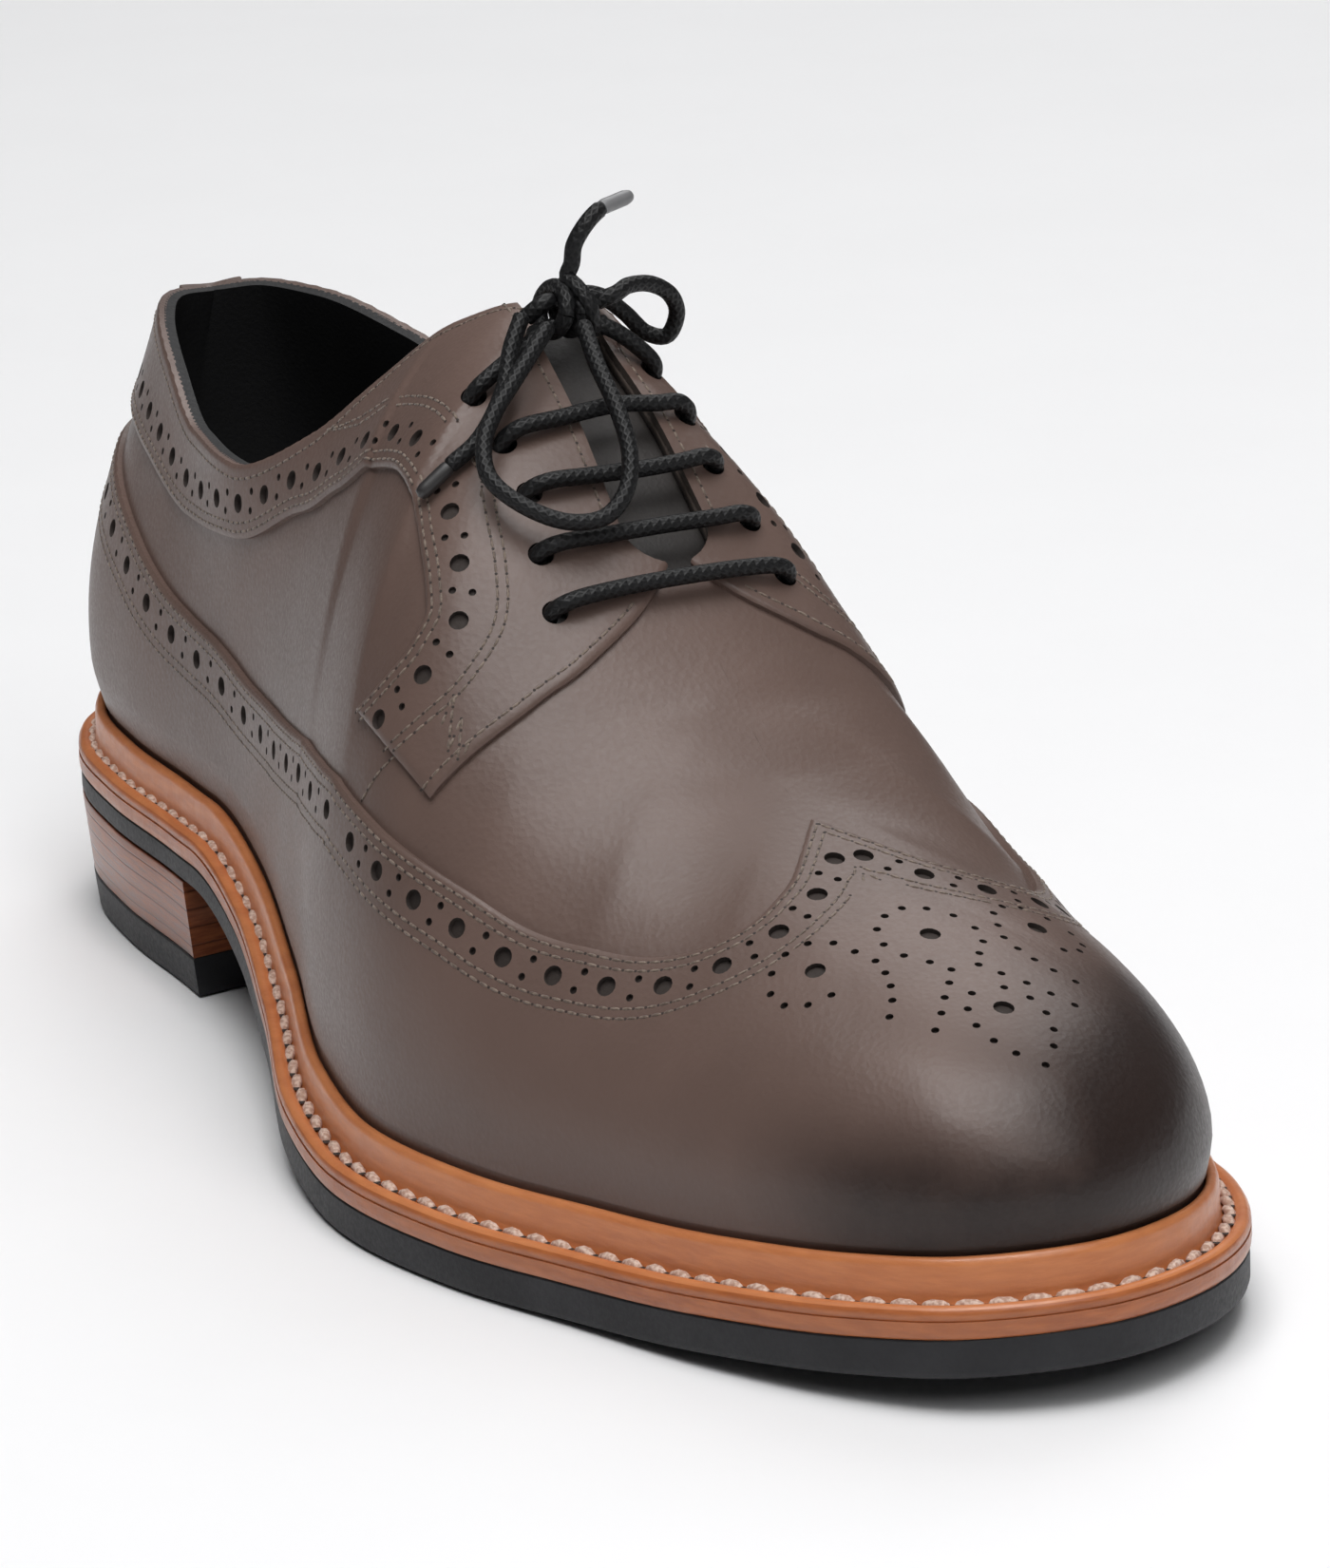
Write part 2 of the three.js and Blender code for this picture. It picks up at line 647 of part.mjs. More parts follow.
function insole() {
  const inset = (share) => featherInset(share) + WALL + GAP;
  const low = (x) => weltTop(x) + GAP;
  const high = (x) => weltTop(x) + GAP + INSOLE;
  return plate(low, high, inset, inset);
}

// Overlays thin down towards the foot of the upper
const fade = (up) => THREE.MathUtils.lerp(OVERLAY_SKIVE, 1, Math.min(up / OVERLAY_FADE, 1));

// Raised piece of the upper, between two edges given by rows of shares
function panel(side, rows, count) {
  const at = (i, t) => ({
    share: rows[i].from * (1 - t) + rows[i].to * t,
    up: rows[i].fromUp * (1 - t) + rows[i].toUp * t,
  });
  const lines = (height) => rows.map((_, i) => steps(count).map((t) => {
    const { share, up } = at(i, t);
    return raised(side, share, up, height(up));
  }));
  return sheet(lines((up) => OVERLAY * fade(up)), lines(() => -OVERLAY_ROOT));
}

// Rows of a table with as many even steps between each two
function refined(table, columns, count) {
  const numbered = table.map((row, i) => ({ ...row, i }));
  return steps((table.length - 1) * count).map((t) => {
    const at = t * (table.length - 1);
    return Object.fromEntries(columns.map((column) => [column, along(numbered, 'i', column, at)]));
  });
}

function wing(side) {
  const rows = refined(WING, ['foot', 'top', 'up'], PANEL_STEPS).map((row) => ({
    from: row.foot,
    fromUp: OVERLAY_FOOT,
    to: row.top,
    toUp: row.up,
  }));
  return panel(side, rows, 5);
}

function facing(side) {
  const rows = refined(FACING, ['outer', 'outerUp', 'inner', 'innerUp'], PANEL_STEPS).map((row) => ({
    from: row.inner,
    fromUp: row.innerUp,
    to: row.outer,
    toUp: row.outerUp,
  }));
  return panel(side, rows, 4);
}

// Strip up the back of the heel, over the ends of the wing and the collar band
function backStrip() {
  const half = STRIP_WIDTH / 2;
  const line = (height) => steps(10).map((s) => steps(6).map((t) => {
    const up = OVERLAY_FOOT + (1 - OVERLAY_FOOT) * s;
    const across = half * (2 * t - 1);
    const side = across < 0 ? LATERAL : MEDIAL;
    const share = Math.abs(across) / EDGE_RUN;
    return raised(side, share, up, height(up));
  }));
  return sheet(line((up) => (OVERLAY + STRIP_STEP) * fade(up)), line(() => -OVERLAY_ROOT));
}

// Wall of the upper between two offsets from its surface
function shell(outerOffset, innerOffset) {
  const ups = steps(SECTION_STEPS);
  const foundation = (side, share, inset) => {
    const p = edge(side, share, featherInset(share) + inset);
    p.z = weltTop(p.x) + GAP;
    return p;
  };
  const line = (side, share, offset) => [
    foundation(side, share, -offset),
    ...ups.map((up) => raised(side, share, up, offset)),
  ];
  const quads = [];
  SIDES.forEach((side) => {
    const outer = steps(COLUMNS).map((share) => line(side, share, outerOffset));
    const inner = steps(COLUMNS).map((share) => line(side, share, innerOffset));
    const collar = steps(COLUMNS).filter((share) => share <= CREST_START + 1e-9).length;
    const last = ups.length;
    const bottom = [inner.map((p) => p[0]), outer.map((p) => p[0])];
    const top = [outer, inner].map((lines) => lines.slice(0, collar).map((p) => p[last]));
    const wall = [...cells(outer), ...reversed([...cells(inner), ...cells(bottom), ...cells(top)])];
    quads.push(...(side === LATERAL ? wall : reversed(wall)));
  });
  return fromQuads(quads);
}

// Slot between the facings, from above their tops down to where the vamp begins
function throat(widening) {
  const from = THROAT_TOP * LENGTH;
  const to = THROAT_END * LENGTH;
  const half = (t) => (THROAT_GAP + THROAT_FLARE * t) / 2 + widening;
  const middle = (x) => crest(x).y;
  const ts = steps(6);
  const outline = [
    ...ts.map((t) => new THREE.Vector2(from + (to - from) * t, middle(from + (to - from) * t) - half(t))),
    new THREE.Vector2(to + half(1) * 0.6, middle(to) - half(1) * 0.7),
    new THREE.Vector2(to + half(1) * 0.85, middle(to)),
    new THREE.Vector2(to + half(1) * 0.6, middle(to) + half(1) * 0.7),
    ...[...ts].reverse().map((t) =>
      new THREE.Vector2(from + (to - from) * t, middle(from + (to - from) * t) + half(t))),
  ];
  const prism = { depth: INSTEP_HEIGHT, bevelEnabled: false };
  const cut = new THREE.ExtrudeGeometry(new THREE.Shape(outline), prism);
  return body(cut.translate(0, 0, INSTEP_HEIGHT / 2));
}

function eyeletHole(side, row) {
  const middle = surface(side, row.run, row.up);
  const axis = outward(side, row.run, row.up);
  const turn = new THREE.Quaternion().setFromUnitVectors(new THREE.Vector3(0, 1, 0), axis);
  const hole = new THREE.CylinderGeometry(EYELET / 2, EYELET / 2, EYELET_REACH, 10).applyQuaternion(turn);
  return body(hole.translate(middle.x, middle.y, middle.z));
}

function upper() {
  let result = shell(0, -WALL);
  SIDES.forEach((side) => {
    result = result.add(wing(side)).add(facing(side));
  });
  result = result.add(backStrip()).subtract(throat(0));
  SIDES.forEach((side) => {
    EYELETS.forEach((row) => {
      result = result.subtract(eyeletHole(side, row));
    });
  });
  return result;
}

// Tongue under the facings, cut from a liner inside the upper
function tongue() {
  const top = -(WALL + GAP);
  const liner = (side) => {
    const shares = steps(COLUMNS).filter((share) => share > TONGUE_FROM && share < TONGUE_TO);
    const ups = steps(SECTION_STEPS).filter((up) => up > TONGUE_LOW);
    const lines = (offset) => shares.map((share) => ups.map((up) => raised(side, share, up, offset)));
    return sheet(lines(top), lines(top - TONGUE));
  };
  const from = TONGUE_TOP * LENGTH;
  const to = TONGUE_END * LENGTH;
  const half = TONGUE_WIDTH / 2;
  const shape = new THREE.Shape();
  shape.moveTo(from, -half);
  shape.lineTo(to - half / 2, -half * 0.85);
  shape.quadraticCurveTo(to, -half * 0.8, to, 0);
  shape.quadraticCurveTo(to, half * 0.8, to - half / 2, half * 0.85);
  shape.lineTo(from, half);
  const prism = { depth: INSTEP_HEIGHT, bevelEnabled: false, curveSegments: 4 };
  const outline = body(new THREE.ExtrudeGeometry(shape, prism).translate(0, 0, INSTEP_HEIGHT / 2));
  return liner(LATERAL).add(liner(MEDIAL)).intersect(outline);
}

// Round cord along a list of points
function tube(points, width, count) {
  const path = new THREE.CatmullRomCurve3(points, false, 'centripetal');
  const section = new THREE.Shape();
  section.absarc(0, 0, width / 2, 0, 2 * Math.PI);
  return body(new THREE.ExtrudeGeometry(section, { steps: count, curveSegments: 4, extrudePath: path }));
}
const onCrest = ([x, y, z]) => new THREE.Vector3(
  (x / BOW_SHOE.length) * LENGTH,
  (y / BOW_SHOE.ball) * BALL_WIDTH,
  (z / BOW_SHOE.instep) * INSTEP_HEIGHT,
);
const spots = (rows) => rows.map(onCrest);

// Lace from an eyelet, which its end dips into, up to its way across the throat
function laceHalf(side, row) {
  const hole = surface(side, row.run, row.up);
  const normal = outward(side, row.run, row.up);
  const next = raised(side, row.run * 0.5 + row.crossing * 0.5, row.up * 0.5 + 0.5, LACE_HEIGHT);
  const way = next.clone().sub(hole);
  way.addScaledVector(normal, -way.dot(normal)).normalize();
  const at = (aside, over) => hole.clone().addScaledVector(way, aside).addScaledVector(normal, over);
  return [at(-0.3, 0.6), at(0.9, 2.4), at(3, LACE_HEIGHT + 0.2), next];
}
function laceBar(row) {
  const middle = raised(LATERAL, row.crossing, 1, LACE_HEIGHT);
  return tube([...laceHalf(LATERAL, row), middle, ...laceHalf(MEDIAL, row).reverse()], LACE, 16);
}

function knot() {
  const ball = new THREE.SphereGeometry(1, 14, 10).scale(...KNOT.radii);
  return body(ball.translate(...onCrest(KNOT.at).toArray()));
}

// Pieces, each a mesh with its own name and material
const shoe = new THREE.Group();
const MATERIALS = {
  leather: { color: 0x6f625b, roughness: 0.42, metalness: 0 },
  tan: { color: 0xb86a36, roughness: 0.5, metalness: 0 },
  stack: { color: 0x9a5230, roughness: 0.45, metalness: 0 },
  rubber: { color: 0x2b2c2f, roughness: 0.7, metalness: 0 },
  lace: { color: 0x141416, roughness: 0.55, metalness: 0 },
  tip: { color: 0x8a8a8c, roughness: 0.35, metalness: 0 },
};
function add(name, piece, material) {
  const mesh = piece.getMesh();
  const shape = new THREE.BufferGeometry();
  shape.setAttribute('position', new THREE.BufferAttribute(new Float32Array(mesh.vertProperties), 3));
  shape.setIndex([...mesh.triVerts]);
  const result = new THREE.Mesh(shape, new THREE.MeshStandardMaterial(MATERIALS[material]));
  result.name = name;
  shoe.add(result);
}

add('outsole', outsole(), 'rubber');
add('midsole', plate(midsoleBottom, midsoleTop, flush, flush), 'tan');
add('welt', welt(), 'tan');
add('heel_stack', heelBlock(TOP_LIFT + GAP, HEEL_HEIGHT - GAP), 'stack');
add('heel_top_lift', topLift(), 'rubber');
add('insole', insole(), 'tan');
add('upper', upper(), 'leather');
add('tongue', tongue(), 'leather');

// Origin under the middle of the sole, on the floor
const extent = new THREE.Box3().setFromObject(shoe);
shoe.position.set(-(extent.min.x + extent.max.x) / 2, -(extent.min.y + extent.max.y) / 2, 0);

// Lace: bars over the throat, leads up to the knot, and the bow
EYELETS.slice(1).forEach((row, i) => add(`lace_bar_${i + 2}`, laceBar(row), 'lace'));
LEAD_ENDS.forEach(({ side, at }) => {
  const points = [...laceHalf(side, EYELETS[0]).slice(0, 3), onCrest(at)];
  add(side === LATERAL ? 'lace_lead_lateral' : 'lace_lead_medial', tube(points, LACE, 8), 'lace');
});
add('lace_knot', knot(), 'lace');
add('lace_loop_lateral', tube(spots(LOOP_LATERAL), LACE, 22), 'lace');
add('lace_loop_medial', tube(spots(LOOP_MEDIAL), LACE, 14), 'lace');
add('lace_end_upper', tube(spots(END_UPPER), LACE, 6), 'lace');
add('lace_end_lower', tube(spots(END_LOWER), LACE, 8), 'lace');
add('lace_tip_upper', tube(spots(TIP_UPPER), LACE_TIP, 1), 'tip');
add('lace_tip_lower', tube(spots(TIP_LOWER), LACE_TIP, 1), 'tip');

export default shoe;
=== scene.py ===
import math

import bpy
import bmesh
import numpy as np
from mathutils import Matrix, Vector


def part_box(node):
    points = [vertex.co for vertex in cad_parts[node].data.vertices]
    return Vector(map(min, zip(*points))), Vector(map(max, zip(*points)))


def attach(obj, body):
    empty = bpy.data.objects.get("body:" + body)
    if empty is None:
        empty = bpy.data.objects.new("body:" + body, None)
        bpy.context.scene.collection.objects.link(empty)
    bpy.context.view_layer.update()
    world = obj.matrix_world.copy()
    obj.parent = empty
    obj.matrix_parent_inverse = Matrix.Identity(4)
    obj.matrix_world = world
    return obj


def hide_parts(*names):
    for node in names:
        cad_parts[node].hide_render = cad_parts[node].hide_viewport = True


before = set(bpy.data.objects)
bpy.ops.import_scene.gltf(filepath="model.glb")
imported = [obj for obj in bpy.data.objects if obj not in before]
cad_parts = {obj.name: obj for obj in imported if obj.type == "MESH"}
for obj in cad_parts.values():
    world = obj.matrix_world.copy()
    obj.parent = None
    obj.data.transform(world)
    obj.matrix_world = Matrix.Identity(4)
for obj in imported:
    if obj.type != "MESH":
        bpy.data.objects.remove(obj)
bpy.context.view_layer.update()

# Looks of a right longwing brogue. Sizes are in millimetres in the shoe's own axes: x from the back of
# the heel to the toe, y to the medial side, z up from the floor. They are those of the part's source.
LENGTH = 312
BALL_WIDTH = 112
INSTEP_HEIGHT = 124
HEEL_HEIGHT = 20
TOP_LIFT = 6.7
HEEL_LENGTH = 80
TOE_SPRING = 6
OUTSOLE = 6
MIDSOLE = 2.1
WELT = 2.2
LIP_HEIGHT = 5.5
LIP_THICKNESS = 2
FEATHER_INSET = 6.5
INSOLE = 3
WALL = 1.8
OVERLAY = 1.2
STRIP_WIDTH = 22
STRIP_STEP = 0.8
OVERLAY_FOOT = 0.012
OVERLAY_FADE = 0.1
OVERLAY_SKIVE = 0.15
THROAT_GAP = 7
THROAT_FLARE = 7
THROAT_TOP = 0.4
THROAT_END = 0.594
TONGUE_TOP = 0.47
TONGUE_END = 0.665
TONGUE = 2
TONGUE_WIDTH = 46
EYELET = 4
LACE = 2.6
GAP = 0.3
COLLAR_SIDEWAYS = 0.036
COLLAR_TO = 0.2
CREST_FROM = 0.45
SLOPE_FROM = 0.4
SLOPE_TO = 0.52
PROBE = 0.004
CREST_START = 0.55
HALF = BALL_WIDTH / 2
LATERAL = -1
MEDIAL = 1
SIDES = (LATERAL, MEDIAL)
ROOT = 0.3


def columns(names, rows):
    return {name: np.array([row[i] for row in rows], float) for i, name in enumerate(names.split())}


# Outline of the sole: shares of the length and of half the ball width
OUTLINE = columns("along lateral medial", [
    (0.022, 0.375, 0.365), (0.075, 0.56, 0.57), (0.15, 0.635, 0.64), (0.24, 0.655, 0.59),
    (0.34, 0.705, 0.49), (0.44, 0.85, 0.47), (0.54, 1.03, 0.62), (0.63, 1.085, 0.8),
    (0.71, 1.01, 0.935), (0.79, 0.85, 0.94), (0.87, 0.685, 0.865), (0.94, 0.475, 0.675),
    (0.982, 0.255, 0.42),
])
TOE_OFFSET = 0.1

# Underside of the outsole and its thickness: shares of the heel height, toe spring and thickness
TREAD = columns("along heel spring", [
    (0, 1, 0), (0.27, 1, 0), (0.35, 0.72, 0), (0.44, 0.38, 0), (0.54, 0.11, 0),
    (0.62, 0, 0), (0.72, 0, 0), (0.8, 0, 0.11), (0.9, 0, 0.48), (1, 0, 1),
])
TAPER = columns("along thick", [(0, 0.7), (0.24, 0.7), (0.42, 1), (1, 1)])

# Distance of the upper's foot from the sole's edge
FEATHER = columns("run inset", [(0, 0.77), (0.35, 0.77), (0.6, 1), (1, 1)])

# Crest of the instep and toe: shares of the length, half the ball width and the instep height
CREST = columns("along sideways rise", [
    (0.44, 0.02, 1.032), (0.474, 0.016, 1.002), (0.5, 0.012, 0.966), (0.54, 0.01, 0.907),
    (0.6, 0.01, 0.778), (0.66, 0.012, 0.641), (0.72, 0.018, 0.536), (0.78, 0.035, 0.48),
    (0.84, 0.062, 0.44), (0.9, 0.08, 0.403),
])

# Sections of the upper from heel to toe
SECTIONS = columns("run along spread rise lean swell lower upper", [
    (0, 0.03, 0, 0.806, 76, 0.09, 0.4, 0.35),
    (0.05, 0.042, 0.145, 0.812, 75, 0.095, 0.41, 0.35),
    (0.1, 0.078, 0.26, 0.808, 75, 0.095, 0.41, 0.35),
    (0.17, 0.143, 0.38, 0.778, 77, 0.078, 0.41, 0.35),
    (0.25, 0.217, 0.48, 0.736, 81, 0.057, 0.4, 0.35),
    (0.33, 0.29, 0.535, 0.738, 78, 0.041, 0.42, 0.35),
    (0.4, 0.368, 0.455, 0.815, 62, 0.036, 0.45, 0.38),
    (0.44, 0.41, 0.35, 0.899, 45, 0.036, 0.48, 0.43),
    (0.48, 0.445, 0.19, 0.98, 24, 0.036, 0.53, 0.5),
    (0.52, 0.468, 0.06, 1.005, 8, 0.036, 0.58, 0.56),
    (0.55, 0.48, 0, 1, 0, 0.036, 0.61, 0.6),
    (0.6, 0.54, 0, 1, 0, 0.036, 0.6, 0.62),
    (0.7, 0.635, 0, 1, 0, 0.03, 0.47, 0.6),
    (0.8, 0.72, 0, 1, 0, 0.04, 0.54, 0.61),
    (0.9, 0.79, 0, 1, 0, 0.064, 0.63, 0.6),
    (1, 0.84, 0, 1, 0, 0.071, 0.65, 0.59),
])

# Wing's upper edge, and the collar band and facing's outer and inner edges, in shares of the upper
WING = columns("foot top up", [
    (0, 0, 0.68), (0.06, 0.06, 0.65), (0.12, 0.12, 0.6), (0.2, 0.2, 0.525), (0.28, 0.28, 0.462),
    (0.36, 0.36, 0.41), (0.41, 0.41, 0.37), (0.44, 0.44, 0.334), (0.47, 0.47, 0.3), (0.5, 0.5, 0.282),
    (0.54, 0.54, 0.274), (0.6, 0.6, 0.3), (0.66, 0.66, 0.362),
    (0.71, 0.71, 0.415), (0.75, 0.75, 0.475), (0.785, 0.78, 0.555), (0.815, 0.805, 0.65),
    (0.845, 0.82, 0.75), (0.875, 0.828, 0.86), (0.905, 0.825, 1), (0.935, 0.88, 1), (0.965, 0.94, 1),
    (1, 1, 1),
])
WING_POINT = 19
FACING = columns("outer outerUp inner innerUp", [
    (0, 1, 0, 0.74), (0.1, 1, 0.1, 0.735), (0.2, 1, 0.2, 0.745), (0.28, 1, 0.28, 0.76),
    (0.35, 1, 0.345, 0.805), (0.4, 1, 0.385, 0.825), (0.44, 1, 0.425, 0.78), (0.49, 1, 0.465, 0.7),
    (0.53, 1, 0.5, 0.655), (0.57, 1, 0.535, 0.625), (0.61, 1, 0.56, 0.605), (0.64, 1, 0.58, 0.575),
    (0.664, 1, 0.588, 0.545), (0.673, 0.9, 0.586, 0.5), (0.667, 0.76, 0.578, 0.445),
    (0.655, 0.64, 0.568, 0.4), (0.625, 0.4, 0.557, 0.363),
])
EYELETS = ((0.55, 0.79, 0.572), (0.58, 0.803, 0.603), (0.601, 0.803, 0.632), (0.621, 0.775, 0.658),
           (0.641, 0.752, 0.682))


# Smooth curve through a table's rows that never overshoots them
def along(table, key, column, at):
    xs = table[key]
    ys = table[column]
    step = np.diff(xs)
    slope = np.diff(ys) / step
    tangent = np.empty(len(xs))
    tangent[0] = slope[0]
    tangent[-1] = slope[-1]
    for k in range(1, len(xs) - 1):
        a, b = slope[k - 1], slope[k]
        p = 2 * step[k] + step[k - 1]
        q = step[k] + 2 * step[k - 1]
        tangent[k] = 0 if a * b <= 0 else (p + q) / (p / a + q / b)
    at = np.asarray(at, float)
    i = np.clip(np.searchsorted(xs, at, side="left") - 1, 0, len(xs) - 2)
    t = np.clip((at - xs[i]) / step[i], 0, 1)
    a, b = ys[i], ys[i + 1]
    first, last = tangent[i] * step[i], tangent[i + 1] * step[i]
    cube = 2 * (a - b) + first + last
    square = 3 * (b - a) - 2 * first - last
    return ((cube * t + square) * t + first) * t + a


# Centripetal spline between the middle two of four points, as a function of the share of the way
def centripetal(p0, p1, p2, p3):
    d0, d1, d2 = (max(np.linalg.norm(b - a), 1e-4) ** 0.5 for a, b in ((p0, p1), (p1, p2), (p2, p3)))
    first = ((p1 - p0) / d0 - (p2 - p0) / (d0 + d1) + (p2 - p1) / d1) * d1
    last = ((p2 - p1) / d1 - (p3 - p1) / (d1 + d2) + (p3 - p2) / d2) * d1
    cube = 2 * p1 - 2 * p2 + first + last
    square = -3 * p1 + 3 * p2 - 2 * first - last
    return lambda t: ((cube * t + square) * t + first) * t + p1


# Closed spline through points, as many even steps round it as asked
def closed_spline(points, count):
    n = len(points)
    result = []
    for i in range(count):
        at = n * i / count
        k = int(at)
        result.append(centripetal(*(points[(k + j) % n] for j in (-1, 0, 1, 2)))(at - k))
    return np.array(result)


def sole_edges():
    points = [np.array((0.0, 0.0))]
    points += [np.array((a * LENGTH, -w * HALF)) for a, w in zip(OUTLINE["along"], OUTLINE["lateral"])]
    points.append(np.array((LENGTH, TOE_OFFSET * HALF)))
    points += [np.array((a * LENGTH, w * HALF)) for a, w in zip(OUTLINE["along"], OUTLINE["medial"])][::-1]
    dense = closed_spline(points, 1600)
    tangent = np.roll(dense, -1, 0) - np.roll(dense, 1, 0)
    tangent /= np.linalg.norm(tangent, axis=1)[:, None]
    rows = np.column_stack([dense, -tangent[:, 1], tangent[:, 0]])
    tip = int(np.argmax(dense[:, 0]))
    lateral = rows[:tip + 1]
    medial = np.vstack([rows[:1], rows[tip:][::-1]])
    result = {}
    for side, run in ((LATERAL, lateral), (MEDIAL, medial)):
        steps = np.linalg.norm(np.diff(run[:, :2], axis=0), axis=1)
        length = np.concatenate([[0], np.cumsum(steps)])
        result[side] = (length / length[-1], run, length[-1])
    return result


EDGES = sole_edges()
EDGE_RUN = EDGES[LATERAL][2]

# The shoe's axes start at the heel's back: the frame's origin is under the middle of the sole
outsole_low, outsole_high = (np.array(corner) * 1000 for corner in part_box("outsole"))
SHIFT = np.array((
    (outsole_low[0] + outsole_high[0]) / 2 - LENGTH / 2,
    outsole_low[1] - EDGES[LATERAL][1][:, 1].min(),
    0,
))


def place(points):
    return (np.asarray(points, float) + SHIFT) / 1000


# Point of the sole's edge at a share of one side's run, moved inwards
def edge(side, share, inset):
    out = []
    for s in SIDES:
        shares, run, _ = EDGES[s]
        x, y, nx, ny = (np.interp(share, shares, run[:, k]) for k in range(4))
        size = np.hypot(nx, ny)
        out.append(np.stack([x + nx / size * inset, y + ny / size * inset], -1))
    return np.where(np.asarray(side)[..., None] < 0, out[0], out[1])


def tread(x):
    at = np.clip(np.asarray(x) / LENGTH, 0, 1)
    return along(TREAD, "along", "heel", at) * HEEL_HEIGHT + along(TREAD, "along", "spring", at) * TOE_SPRING


def outsole_top(x):
    at = np.clip(np.asarray(x) / LENGTH, 0, 1)
    return tread(x) + along(TAPER, "along", "thick", at) * OUTSOLE


def welt_top(x):
    return outsole_top(x) + GAP + MIDSOLE + GAP + WELT


def feather_inset(share):
    return along(FEATHER, "run", "inset", share) * FEATHER_INSET


def foot(side, share):
    p = edge(side, share, feather_inset(share))
    z = welt_top(edge(side, share, 0 * np.asarray(share))[..., 0]) + LIP_HEIGHT
    return np.concatenate([p, z[..., None]], -1)


def crest_y(x):
    return along(CREST, "along", "sideways", np.asarray(x) / LENGTH) * HALF


def crest_z(x):
    return along(CREST, "along", "rise", np.asarray(x) / LENGTH) * INSTEP_HEIGHT


# Sides, shares and ups that run on over the heel, toe or crest, brought back onto one side
def folded(side, share, up):
    side, share, up = np.broadcast_arrays(*(np.asarray(value, float) for value in (side, share, up)))
    side = np.where((share < 0) | (share > 1), -side, side)
    share = np.where(share < 0, -share, np.where(share > 1, 2 - share, share))
    over = (up > 1) & (share >= CREST_START)
    return np.where(over, -side, side), share, np.where(over, 2 - up, up)


# Soft creases of the upper: where each starts low and ends high, its half width in shares, and its depth;
# those that end at the crest run over it onto the other side
CREASES = (
    (LATERAL, (0.6, 0.36), (0.742, 1), 0.011, 0.26), (MEDIAL, (0.62, 0.4), (0.742, 1), 0.011, 0.26),
    (LATERAL, (0.645, 0.44), (0.782, 1), 0.01, 0.18), (MEDIAL, (0.66, 0.46), (0.782, 1), 0.01, 0.18),
    (LATERAL, (0.16, 0.56), (0.2, 0.76), 0.012, 0.15), (MEDIAL, (0.36, 0.46), (0.38, 0.8), 0.013, 0.2),
    (MEDIAL, (0.49, 0.36), (0.46, 0.7), 0.012, 0.18),
)


# Height of the creases: a trough with a low ridge along each side of it
def crease(side, share, up):
    height = np.zeros(share.shape)
    for which, (start, low), (end, high), width, depth in CREASES:
        t = np.clip((up - low) / (high - low), 0, 1)
        fade = np.sin(t * math.pi / 2) ** 2 if high == 1 else np.sin(t * math.pi) ** 2
        off = ((share - start - (end - start) * t) / width) ** 2
        height += np.where(side == which, -depth * fade * (1 - off) * np.exp(-off), 0)
    return height


def eased(value, low, high):
    t = np.clip((value - low) / (high - low), 0, 1)
    return t * t * (3 - 2 * t)


# Point of the upper at a share of one side's edge and a share up its section
def surface(side, share, up):
    side, share, up = folded(side, share, up)
    value = {name: along(SECTIONS, "run", name, share) for name in SECTIONS if name != "run"}
    bottom = foot(side, share)
    x = value["along"] * LENGTH
    blend = eased(share, COLLAR_TO, CREST_FROM)
    collar_y = COLLAR_SIDEWAYS * HALF
    top_z = np.where(share >= CREST_START, crest_z(x), value["rise"] * INSTEP_HEIGHT)
    top_y = collar_y + (crest_y(x) - collar_y) * blend + side * value["spread"] * HALF
    across = np.stack([x - bottom[..., 0], top_y - bottom[..., 1]], -1)
    reach = np.linalg.norm(across, axis=-1)
    across = across / reach[..., None]
    rise = top_z - bottom[..., 2]
    lean = np.radians(value["lean"])
    fall = (crest_z(x + 0.5) - crest_z(x - 0.5)) * across[..., 0]
    slope = lean + np.arctan(fall * eased(share, SLOPE_FROM, SLOPE_TO))
    arm = value["upper"] * (reach * np.cos(lean) ** 2 + rise * np.sin(lean) ** 2)
    swell = value["swell"] * HALF
    low = bottom + np.concatenate([-across * swell[..., None], (value["lower"] * rise)[..., None]], -1)
    top = np.stack([x, top_y, top_z], -1)
    back = np.concatenate([across * (np.cos(slope) * arm)[..., None], (np.sin(slope) * arm)[..., None]], -1)
    high = top - back
    t = np.clip(up, 0, 1)[..., None]
    point = (1 - t) ** 3 * bottom + 3 * (1 - t) ** 2 * t * low + 3 * (1 - t) * t * t * high + t ** 3 * top
    ahead = (1 - t) ** 2 * (low - bottom) + 2 * (1 - t) * t * (high - low) + t * t * (top - high)
    level = (ahead[..., :2] * across).sum(-1)
    out = np.concatenate([-across * ahead[..., 2:], level[..., None]], -1)
    out /= np.linalg.norm(out, axis=-1)[..., None]
    return point + out * crease(side, share, up)[..., None]


# Direction that leads out of the upper
def outward(side, share, up):
    side, share, up = folded(side, share, up)
    around = surface(side, share + PROBE, up) - surface(side, share - PROBE, up)
    above = surface(side, share, np.minimum(up + 5 * PROBE, 1))
    below = surface(side, share, np.maximum(up - 5 * PROBE, 0))
    normal = np.cross(around, above - below) * -side[..., None]
    x = surface(side, share, 1 + 0 * up)[..., 0]
    ridge = np.stack([crest_z(x - 0.5) - crest_z(x + 0.5), 0 * x, 1 + 0 * x], -1)
    on_ridge = (share >= CREST_START) & (np.abs(up - 1) < 0.001)
    normal = np.where(on_ridge[..., None], ridge, normal)
    return normal / np.linalg.norm(normal, axis=-1)[..., None]


def raised(side, share, up, height):
    return surface(side, share, up) + outward(side, share, up) * np.asarray(height, float)[..., None]


# Meshes and pieces
def keep(obj):
    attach(obj, "root")
    return obj


